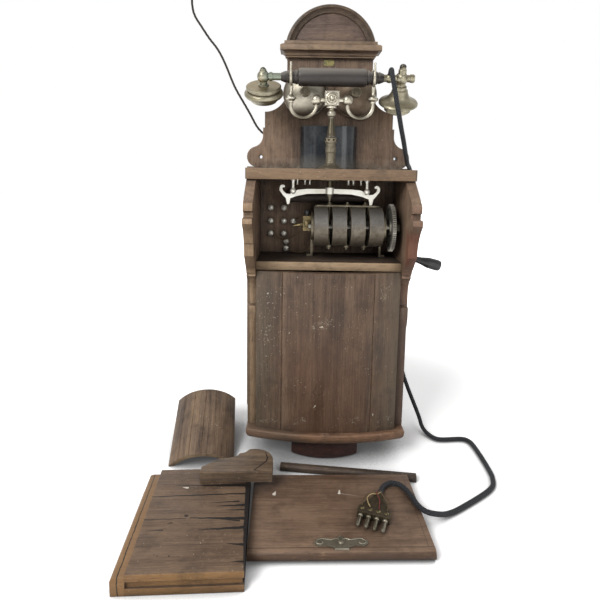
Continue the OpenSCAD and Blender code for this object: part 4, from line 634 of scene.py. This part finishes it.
def gridPiece(name, grid, finish, wrap=True, caps=True, uv=None):
    # grid is (rows, columns, 3), or (copies, rows, columns, 3); each cell is a quad, columns join round if
    # wrap is set, the first and last rows are closed by one face each, and a closed piece faces outwards
    grids = grid if grid.ndim == 4 else grid[None]
    copies, rows, columns = grids.shape[:3]
    index = np.arange(copies * rows * columns).reshape(copies, rows, columns)
    right = np.roll(index, -1, axis=2) if wrap else index[..., 1:]
    left = index if wrap else index[..., :-1]
    quads = np.stack([left[:, :-1], right[:, :-1], right[:, 1:], left[:, 1:]], axis=-1).reshape(-1, 4)
    points = grids.reshape(-1, 3)
    a, b, c, d = (points[quads[:, k]] - points.mean(axis=0) for k in range(4))
    volume = np.einsum("ij,ij->", a, np.cross(b, c)) + np.einsum("ij,ij->", a, np.cross(c, d))
    flip = wrap and volume < 0
    faces = (quads[:, ::-1] if flip else quads).tolist()
    if caps:
        ends = [row for k in range(copies) for row in (index[k, 0, ::-1], index[k, -1])]
        faces += [(row[::-1] if flip else row).tolist() for row in ends]
    mesh = bpy.data.meshes.new(name)
    mesh.from_pydata(points.tolist(), [], faces)
    mesh.polygons.foreach_set("use_smooth", np.ones(len(faces), bool))
    if uv is not None:
        # u runs on past the seam, so a strand that goes round has no break
        u, v = uv
        cells = (rows - 1) * columns
        vNext = np.append(v, 2 * v[-1] - v[-2])
        r, k = np.divmod(np.arange(cells), columns)
        corner = np.stack([np.c_[u[r], vNext[k]], np.c_[u[r], vNext[k + 1]], np.c_[u[r + 1], vNext[k + 1]],
            np.c_[u[r + 1], vNext[k]]], axis=1)
        sheet = np.zeros((len(mesh.loops), 2))
        sheet[:cells * 4] = (corner[:, ::-1] if flip else corner).reshape(-1, 2)
        mesh.uv_layers.new(name="UVMap").data.foreach_set("uv", sheet.ravel())
    mesh.materials.append(finish)
    mesh.update()
    piece = bpy.data.objects.new(name, mesh)
    scene.collection.objects.link(piece)
    return piece


def smoothLine(route, steps):
    # the part's own curve: Catmull-Rom through the route, cubic in t over each span
    p = np.array(route, float)
    before, after = np.vstack([p[:1], p[:-2]]), np.vstack([p[2:], p[-1:]])
    a, b, c, d = (q[:, None] for q in (before, p[:-1], p[1:], after))
    t = (np.arange(steps) / steps)[None, :, None]
    spans = 0.5 * (2 * b + (c - a) * t + (2 * a - 5 * b + 4 * c - d) * t ** 2
        + (3 * b - a - 3 * c + d) * t ** 3)
    return np.vstack([spans.reshape(-1, 3), p[-1:]])


def tubePiece(name, line, finish, thick, sides, ridge=0.0, turnsPerMetre=0.0):
    # rings of points at line + radius (cos a n + sin a b); n is carried along the line without twist, and
    # a ridge of that height runs round it as a thread; the line in metres, thick and ridge in millimetres
    run = np.gradient(line, axis=0)
    run /= np.linalg.norm(run, axis=1)[:, None]
    side = np.zeros_like(run)
    lean = np.array([1.0, 0, 0]) if abs(run[0, 2]) > 0.9 else np.array([0, 0, 1.0])
    for i, t in enumerate(run):  # ring by ring
        lean = lean - lean.dot(t) * t
        lean /= np.linalg.norm(lean)
        side[i] = lean
    over = np.cross(run, side)
    reach = np.append(0, np.cumsum(np.linalg.norm(np.diff(line, axis=0), axis=1)))
    angle = 2 * np.pi * np.arange(sides) / sides
    turned = angle[None] - 2 * np.pi * turnsPerMetre * reach[:, None]
    wide = (thick / 2 - ridge * (0.5 - 0.5 * np.cos(turned))) / 1000
    grid = line[:, None] + wide[..., None] * (np.cos(angle)[None, :, None] * side[:, None]
        + np.sin(angle)[None, :, None] * over[:, None])
    return gridPiece(name, grid, finish, uv=(reach, np.arange(sides) / sides)), float(reach[-1])


def atWall(route):
    # millimetres from the wall to metres in the shared frame
    return np.array(route, float) / 1000 + np.array([0, wallDepth, 0])


def axisFrame(axis):
    # the axis at unit length and two ways square to it
    way = np.array(axis, float) / np.linalg.norm(axis)
    side = np.cross(way, [0, 0, 1] if abs(way[2]) < 0.9 else [1, 0, 0])
    side /= np.linalg.norm(side)
    return way, side, np.cross(way, side)


def turnedGrid(profile, centre, axis, sides=32):
    # the (radius, height) points of the profile carried round the axis, at centre; millimetres
    way, side, over = axisFrame(axis)
    angle = 2 * np.pi * np.arange(sides) / sides
    ring = np.cos(angle)[:, None] * side + np.sin(angle)[:, None] * over
    shape = np.array(profile, float)
    return atWall(np.array(centre) + shape[:, :1, None] * ring[None] + shape[:, 1:, None] * way)


def slottedGrid(centre, axis, turn, radius, rise, slot):
    # screw head: x runs across the slot and y along it to the disc's edge; the height is a low dome,
    # rise (1 - dome r²), less the slot's depth between its two walls, and 0 at the rim; millimetres
    way, side, over = axisFrame(axis)
    half, wall, dome, depth = slot / 2, 0.02, 0.35, 0.4 * rise
    x = np.concatenate([np.linspace(-radius, -half, 9), [-half + wall], [0.0], [half - wall],
        np.linspace(half, radius, 9)])
    t = np.linspace(-1, 1, 15)
    y = np.sqrt(np.maximum(radius ** 2 - x ** 2, 0))[:, None] * t
    share = (x[:, None] ** 2 + y ** 2) / radius ** 2
    height = rise * (1 - dome * share) - np.where(np.abs(x)[:, None] < half - wall / 2, depth, 0)
    rim = np.zeros((len(x), 1))
    height = np.hstack([rim, height, rim])
    y = np.hstack([y[:, :1], y, y[:, -1:]])
    a = math.radians(turn)
    u, v = x[:, None] * math.cos(a) - y * math.sin(a), x[:, None] * math.sin(a) + y * math.cos(a)
    return atWall(np.array(centre) + u[..., None] * side + v[..., None] * over + height[..., None] * way)


def ownFrame(points, middle, turn):
    # points in a loose piece's own frame, to millimetres from the wall
    a = math.radians(turn)
    p = np.array(points, float)
    return np.stack([middle[0] + p[:, 0] * math.cos(a) - p[:, 1] * math.sin(a),
        middle[1] + p[:, 0] * math.sin(a) + p[:, 1] * math.cos(a), middle[2] + p[:, 2]], axis=1)


def fixToCase(piece, slot, *standsFor):
    if standsFor:
        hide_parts(*standsFor)
    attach(piece, "case")
    return piece


# Small pieces on the plug, which the cord carries; millimetres

plug = {
    "middle": (68, -206.5, 13),
    "turn": -19.5,
    "screws": [(-15, -42, 7.1), (-5, -42, 7.1), (5, -42, 7.1), (15, -42, 7.1)],
    "head": {"radius": 2.7, "rise": 3.0, "slot": 0.7},
    "headTurn": 35,   # degrees, from one screw to the next
    "tail": {"thick": 1.4, "sides": 10},
    "steps": 6,       # in each span of a tail's curve
    "tails": [   # finish, route over the plug's top
        ("redCotton", [(-1, -4, 7.5), (-3, -10, 10.5), (-1, -17, 12), (3, -23, 11.5), (4.6, -32, 10.6),
            (5, -39, 9.6)]),
        ("creamCotton", [(1, -4, 7.5), (-2, -12, 10), (-8, -17, 12), (-12, -25, 12), (-10, -32, 11),
            (-6, -38, 9.6)]),
        ("brownCotton", [(2, -4, 7), (5, -12, 9.5), (11, -21, 11), (15, -30, 10.6), (15.4, -39, 9.6)]),
        ("brownCotton", [(-2, -4, 7), (-6, -11, 9.5), (-13, -20, 10.5), (-17, -29, 10.4),
            (-15.6, -39, 9.6)])],
}


def dressPlug():
    spots = ownFrame(plug["screws"], plug["middle"], plug["turn"])
    heads = np.stack([slottedGrid(spot, (0, 0, 1), plug["headTurn"] * k, **plug["head"])
        for k, spot in enumerate(spots)])
    made = [fixToCase(gridPiece("plugScrews", heads, finishes["springBrass"], caps=False), "brass")]
    for k, (finish, route) in enumerate(plug["tails"]):
        line = smoothLine(atWall(ownFrame(route, plug["middle"], plug["turn"])), plug["steps"])
        tail = tubePiece(f"plugTail{k + 1}", line, finishes[finish], **plug["tail"])[0]
        made.append(fixToCase(tail, "cloth_wire"))
    return made


# Cords; millimetres, the routes from the wall

handsetCord = {
    "route": [[80, -82, 561], [80, -91, 569.5], [79.5, -101, 568.5], [79.5, -108, 560], [81, -113, 548],
        [83, -116, 535], [86, -116.5, 520], [90, -114, 505], [94.5, -108, 490], [100, -99, 475],
        [106, -86, 460], [112, -70, 449], [118, -51, 442], [124.5, -34, 437], [131, -19, 424],
        [133, -10, 390], [133, -9, 265], [133, -9, 130], [135, -10, 95], [162, -20, 26], [167, -28, 10],
        [174, -42, 4.2], [188, -56, 3.5], [223, -54, 3.5], [234, -59, 3.5], [238, -74, 3.5],
        [239, -122, 3.5], [236, -155, 3.5], [222, -179, 3.5], [172, -215, 3.5], [150, -228, 5],
        [134, -238, 12], [120, -240, 16.5], [112, -229, 16.5], [106, -207, 16.5], [98, -191, 16.5],
        [86, -186, 16.5], [74, -194, 16.5], [66.9, -209.5, 16.5]],
    "steps": 8,
    "tube": {"thick": 6.5, "sides": 20},
    # metres; two places on the cord, above the first meant to go with the handset and below the second to
    # stay; nothing reads them
    "bend": ((0.1, 0, 0.53), (0.1, 0, 0.30)),
}


def layHandsetCord(onPlug):
    line = smoothLine(atWall(handsetCord["route"]), handsetCord["steps"])
    cord, length = tubePiece("handsetCord", line, finishes["cottonBraid"], **handsetCord["tube"])
    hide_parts("cord_upper", "cord_lower")
    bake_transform(cord)
    print("handset cord:", round(length, 3), "m")


lineWire = {
    "route": [[-97, -9, 485], [-104, -9, 489], [-113, -9, 499], [-123, -9, 517], [-134, -9, 535.5],
        [-145, -9, 554], [-152, -9, 569], [-159, -9, 586], [-167, -9, 603], [-175, -9, 616],
        [-186, -9, 629.5], [-198, -9, 647], [-207, -9, 661], [-211, -9, 675], [-212, -9, 700]],
    "steps": 6,
    "tube": {"thick": 3.6, "sides": 14, "ridge": 0.3, "turnsPerMetre": 160},
}


def layLineWire():
    line = smoothLine(atWall(lineWire["route"]), lineWire["steps"])
    wire, length = tubePiece("lineWire", line, finishes["blackCotton"], **lineWire["tube"])
    fixToCase(wire, "cloth_wire", "line_wire")
    print("line wire:", round(length, 3), "m")


leads = {
    "routes": [
        [[-87, -22.5, 331], [-76, -27, 325], [-66, -31, 323], [-54, -38, 328], [-43, -48, 337],
            [-33, -54, 345]],
        [[-51, -22.5, 351], [-47, -30, 356], [-43, -40, 360], [-39, -50, 359], [-33, -54, 357]],
        [[-62, -22.5, 307], [-52, -28, 304], [-44, -34, 303], [-34, -40, 306], [-25, -44, 313]]],
    "steps": 8,
    "tube": {"thick": 2, "sides": 12, "ridge": 0.4, "turnsPerMetre": 300},
}


def layLeads():
    for i, route in enumerate(leads["routes"]):
        line = smoothLine(atWall(route), leads["steps"])
        lead = tubePiece(f"lead{i + 1}", line, finishes["brownCotton"], **leads["tube"])[0]
        fixToCase(lead, "cloth_wire", *(["wiring"] if i == 0 else []))
    print("leads:", len(leads["routes"]))


layHandsetCord(dressPlug())
layLineWire()
layLeads()


# Small fittings; millimetres

terminals = {
    "places": [(-89, 372), (-68, 372), (-89, 351), (-68, 351), (-53, 351), (-89, 331), (-68, 331),
        (-64, 318), (-64, 307)],
    "washer": [(0, 0), (5, 0), (5, 0.9), (4.7, 1.2), (2, 1.2), (2, 3), (0, 3)],
    "head": {"radius": 4.2, "rise": 4.2, "slot": 1.1},
    "headTurn": (25, 53),   # degrees, of the first and from one to the next
    "base": 18,   # the backboard's face
}


def setTerminals():
    out = (0, -1, 0)
    first, step = terminals["headTurn"]
    seats = [(x, -terminals["base"], z) for x, z in terminals["places"]]
    washers = np.stack([turnedGrid(terminals["washer"], seat, out) for seat in seats])
    tops = np.add(seats, (0, -terminals["washer"][-1][1], 0))
    heads = np.stack([slottedGrid(top, out, first + step * k, **terminals["head"])
        for k, top in enumerate(tops)])
    fixToCase(gridPiece("terminalWashers", washers, finishes["dullBrass"], caps=False), "nickel")
    fixToCase(gridPiece("terminalHeads", heads, finishes["brightNickel"], caps=False), "nickel",
        "terminal_screws")
    print("terminals:", len(seats))


setTerminals()

fittings = {
    # finish, slot, axis, profile of (radius, height), places
    "clampBolts": ("dullBrass", "brass", (0, 0, 1), [(0, 0), (2.4, 0), (2.4, 63), (4.6, 63), (4.6, 66),
        (3.8, 66.8), (2.2, 66.8), (2.2, 69), (0, 69.6)], [(1.7, -61, 315.6), (28.3, -61, 315.6),
        (54.9, -61, 315.6)]),
    "clampNuts": ("dullBrass", "brass", (0, 0, -1), [(0, 0), (5.2, 0), (5.2, 3), (4.2, 4), (2.4, 4.4),
        (2.4, 6.5), (0, 7)], [(1.7, -61, 320), (28.3, -61, 320), (54.9, -61, 320)]),
    "shaftNut": ("rubbedNickel", "nickel", (1, 0, 0), [(4.3, 0), (7.5, 0), (8, 0.6), (8, 4), (7.4, 4.8),
        (4.3, 4.8), (4.3, 0)], [(100.1, -74, 349)]),
    "stemWasher": ("rubbedNickel", "nickel", (0, 0, -1), [(4.6, 0), (13, 0), (13, 0.8), (12, 1.6),
        (4.6, 1.8), (4.6, 0)], [(0, -82, 418.5)]),
    "contactKnob": ("blackEbonite", "ebonite", (0, 0, 1), [(0, 0), (3, 0), (3, 2), (5, 2.6), (5.4, 5),
        (4.6, 8), (0, 9)], [(-31.6, -54, 363)]),
    "contactSpring": ("springBrass", "brass", (-1, 0, -0.18), [(0, -1), (3.6, 0), (3.8, 3), (2.6, 4),
        (2.2, 9), (1.4, 15), (0, 16)], [(-37.6, -54, 350)]),
}


def makeFittings():
    for name, (finish, slot, axis, profile, places) in fittings.items():
        grid = np.stack([turnedGrid(profile, place, axis) for place in places])
        fixToCase(gridPiece(name, grid, finishes[finish], caps=False), slot)
    print("fittings:", len(fittings))


makeFittings()

winding = {
    "from": (-59, -44, 390.5), "length": 113, "rings": 560,
    "wire": 1.3,   # drawn thick, so that the turns show
    "tube": {"thick": 16.2, "sides": 24, "ridge": 0.4},
}


def windCoil():
    # a straight tube whose ridge winds round it once for each turn of the wire
    steps = np.linspace(0, winding["length"], winding["rings"])
    line = atWall(np.array(winding["from"]) + steps[:, None] * np.array([1.0, 0, 0]))
    turns = 1000 / winding["wire"]
    coil, length = tubePiece("coilTurns", line, finishes["coilWire"], turnsPerMetre=turns, **winding["tube"])
    fixToCase(coil, "copper_wire", "coil_winding")
    print("coil turns:", round(length * turns))


windCoil()

plates = {
    # finish, middle, half sizes along two ways and thickness along the third
    "transferPlate": ("agedTransfer", (-2, -18, 594), (8, 0, 0), (0, 0, 4.5), (0, -0.4, 0)),
    "magnetRail": ("dullBrass", (28.3, -61, 378.3), (49, 0, 0), (0, 7, 0), (0, 0, 2.2)),
}


def placePlates():
    # plate of rounded outline, |u|^8 + |v|^8 = 1, drawn as rings from the middle of its back to that of
    # its face
    sides = 64
    angle = 2 * np.pi * np.arange(sides) / sides
    u, v = (np.sign(part) * np.abs(part) ** 0.25 for part in (np.cos(angle), np.sin(angle)))
    rings = np.array([(0.01, 0.0), (1, 0.0), (1, 0.7), (0.97, 1.0), (0.5, 1.0), (0.01, 1.0)])
    for name, (finish, middle, right, up, out) in plates.items():
        outline = u[:, None] * np.array(right) + v[:, None] * np.array(up)
        grid = rings[:, :1, None] * outline[None] + rings[:, 1:, None] * np.array(out)
        fixToCase(gridPiece(name, atWall(grid + np.array(middle)), finishes[finish]), "brass")


placePlates()

catch = {
    "middle": (8.5, -234, 13), "turn": 1.7, "steps": 6, "bead": {"thick": 1.8, "sides": 12},
    "scroll": [(2, -50, 1.2), (6, -49.2, 1.5), (11, -51, 1.6), (17, -50, 1.6), (23, -49.4, 1.6),
        (27.5, -52, 1.6), (28, -55.6, 1.6), (24, -57.2, 1.6), (20.6, -55.4, 1.6), (21.6, -53.2, 1.5)],
}


def dressCatch():
    # a round bead along each wing, which ends in a curl
    for side, name in ((1, "catchRight"), (-1, "catchLeft")):
        points = np.array(catch["scroll"]) * np.array([side, 1, 1])
        line = smoothLine(atWall(ownFrame(points, catch["middle"], catch["turn"])), catch["steps"])
        fixToCase(tubePiece(name, line, finishes["catchNickel"], **catch["bead"])[0], "nickel")


dressCatch()
print("catch and plates placed")


# The CAD pieces' finishes and edges

edges = {
    "break": 32,          # degrees; faces that meet at more show an edge
    "join": 0.00001,      # metres
    "eased": 0.0009,      # metres off the boards' edges
    "easedFrom": 38,      # degrees
    "boards": ["backboard", "crest_panel", "shelf", "left_side", "right_side", "divider", "bottom_board",
        "battery_cover", "desk_lid", "battery_tray", "corbel", "loose_strip", "cornice"],
}


def softEdges():
    # joins the loose triangles and shades them smooth, with a break where two faces meet at a sharp edge
    tree = bpy.data.node_groups.new("softEdges", "GeometryNodeTree")
    tree.interface.new_socket("Geometry", in_out="INPUT", socket_type="NodeSocketGeometry")
    tree.interface.new_socket("Geometry", in_out="OUTPUT", socket_type="NodeSocketGeometry")
    joined = addNode(tree, "GeometryNodeMergeByDistance", {"Distance": edges["join"],
        "Geometry": addNode(tree, "NodeGroupInput")})
    smooth = addNode(tree, "GeometryNodeSetShadeSmooth", {"domain": "FACE", "Shade Smooth": True,
        "Geometry": joined})
    fold = addNode(tree, "GeometryNodeInputMeshEdgeAngle")
    sharp = addNode(tree, "FunctionNodeCompare", {"data_type": "FLOAT", "operation": "GREATER_THAN",
        0: fold.outputs["Unsigned Angle"], 1: math.radians(edges["break"])})
    broken = addNode(tree, "GeometryNodeSetShadeSmooth", {"domain": "EDGE", "Shade Smooth": False,
        "Geometry": smooth, "Selection": sharp})
    addNode(tree, "NodeGroupOutput", {0: broken})
    return tree


def dressNodes():
    group = softEdges()
    dressed = [(name, finish) for finish, look in {**woods, **metals}.items() for name in look.get("on", [])]
    for name, finish in dressed:
        piece = nodes[name]
        if piece.material_slots:
            piece.material_slots[0].material = finishes[finish]
        else:
            piece.data.materials.append(finishes[finish])
        if name in edges["boards"]:
            piece.modifiers.new("weld", "WELD").merge_threshold = edges["join"]
            bevel = piece.modifiers.new("eased", "BEVEL")
            bevel.width, bevel.segments, bevel.limit_method = edges["eased"], 2, "ANGLE"
            bevel.angle_limit = math.radians(edges["easedFrom"])
        piece.modifiers.new("smooth", "NODES").node_group = group
    for name in ("terminalWashers", "terminalHeads", "plugScrews", *plates, *fittings):
        bpy.data.objects[name].modifiers.new("smooth", "NODES").node_group = group
    print("pieces dressed:", len(dressed))


dressNodes()


# Light, floor and world

studio = {
    # place, size, power
    "lamps": {"keyLamp": ((-1.35, -1.7, 1.75), 1.1, 50), "fillLamp": ((0.9, -1.9, 1.0), 1.2, 12)},
    "aim": (0, 0, 0.3),
    "zenith": 0.6, "nadir": 0.16,           # light from above and below
    "room": 0.3, "window": 0.9,             # what metal shows
    # the windows, from left to right: place and brightness
    "windows": [(0.16, 0), (0.17, 0.9), (0.19, 0.9), (0.2, 0), (0.27, 0), (0.31, 0.8), (0.4, 0.8), (0.45, 0),
        (0.78, 0), (0.82, 0.5), (0.88, 0.5), (0.92, 0)],
    "paper": 1.4, "bounce": "#7d7b78",      # to the eye, and to other surfaces
    "floorLift": 0.05, "farLift": 0.9,      # the paper's glow, near and far
    "liftFrom": (0.3, 0.75),                # metres from the middle
    "contact": 0.14,                        # metres, reach of the shadow under things
    "floor": 6, "drop": 0.0005,             # metres, half its width and how far below the foot
}


def lightRoom():
    for name, (place, size, power) in studio["lamps"].items():
        lamp = bpy.data.lights.new(name, "AREA")
        lamp.size, lamp.energy = size, power
        ahead = np.subtract(studio["aim"], place)
        ahead /= np.linalg.norm(ahead)
        right = np.cross(ahead, [0, 0, 1])
        right /= np.linalg.norm(right)
        standObject(name, lamp, place, right, np.cross(right, ahead), ahead)
    world = bpy.data.worlds.new("whiteRoom")
    world.use_nodes = True
    tree = world.node_tree
    rays = addNode(tree, "LightPath").outputs
    way = addNode(tree, "TexCoord")
    x, y, z = addNode(tree, "SeparateXYZ", {0: way.outputs["Generated"]}).outputs
    # light falls mostly from above; metal shows white paper behind the
    # telephone, a dimmer room before it and a window at either hand
    fallen = addNode(tree, "MapRange", {"From Min": -0.5, "To Min": studio["nadir"],
        "To Max": studio["zenith"], "Value": z})
    mirrored = addNode(tree, "MapRange", {"From Min": -0.9, "From Max": 0.3, "To Min": studio["room"],
        "Value": y})
    across = addNode(tree, "MapRange", {"From Min": -1.0, "Value": x})
    windows = addNode(tree, "ValToRGB", {"stops": [(spot, grey(level)) for spot, level in studio["windows"]],
        "Fac": across})
    glints = addNode(tree, "Math", {"operation": "MULTIPLY_ADD", 0: windows, 1: studio["window"],
        2: mirrored})
    lit = addNode(tree, "Mix", {"data_type": "FLOAT", 0: rays["Is Glossy Ray"], 2: fallen, 3: glints})
    seen = addNode(tree, "Math", {"operation": "MAXIMUM", 0: rays["Is Camera Ray"],
        1: rays["Is Transmission Ray"]})
    level = addNode(tree, "Mix", {"data_type": "FLOAT", 0: seen, 2: lit, 3: 1.0})
    setNode(tree, tree.nodes["Background"], {"Color": grey(1.0), "Strength": level})
    scene.world = world


def layPaper():
    # white paper, which glows to meet the background further off, and throws little light back up
    paper, tree, shader = newFinish("whitePaper")
    rays = addNode(tree, "LightPath").outputs
    thrown = addNode(tree, "Mix", {"data_type": "RGBA", 0: rays["Is Diffuse Ray"], 6: grey(studio["paper"]),
        7: tone(studio["bounce"])})
    # painted contact shadow: darker where something stands close over the paper
    near = addNode(tree, "AmbientOcclusion", {"samples": 8, "Distance": studio["contact"]})
    dim = addNode(tree, "MapRange", {"From Min": 0.3, "From Max": 0.8, "To Min": 0.12,
        "Value": near.outputs["AO"]})
    kept = addNode(tree, "VectorMath", {"operation": "SCALE", 0: thrown.outputs[2], "Scale": dim})
    place = addNode(tree, "TexCoord")
    reach = addNode(tree, "VectorMath", {"operation": "LENGTH", 0: place.outputs["Object"]})
    glow = addNode(tree, "MapRange", {"interpolation_type": "SMOOTHSTEP", "From Min": studio["liftFrom"][0],
        "From Max": studio["liftFrom"][1], "To Min": studio["floorLift"], "To Max": studio["farLift"],
        "Value": reach.outputs["Value"]})
    seen = addNode(tree, "Math", {"operation": "MAXIMUM", 0: rays["Is Camera Ray"], 1: rays["Is Glossy Ray"]})
    lift = addNode(tree, "Math", {"operation": "MULTIPLY", 0: seen, 1: glow})
    setNode(tree, shader, {"Base Color": kept, "Roughness": 0.9, "Specular IOR Level": 0.0,
        "Emission Color": grey(1.0), "Emission Strength": lift})
    side = np.linspace(-studio["floor"], studio["floor"], 3)
    sheet = np.stack(np.meshgrid(side, side, [-studio["drop"]]), axis=-1).reshape(3, 3, 3)
    gridPiece("floor", sheet, paper, wrap=False, caps=False)


lightRoom()
layPaper()
print("studio lit")
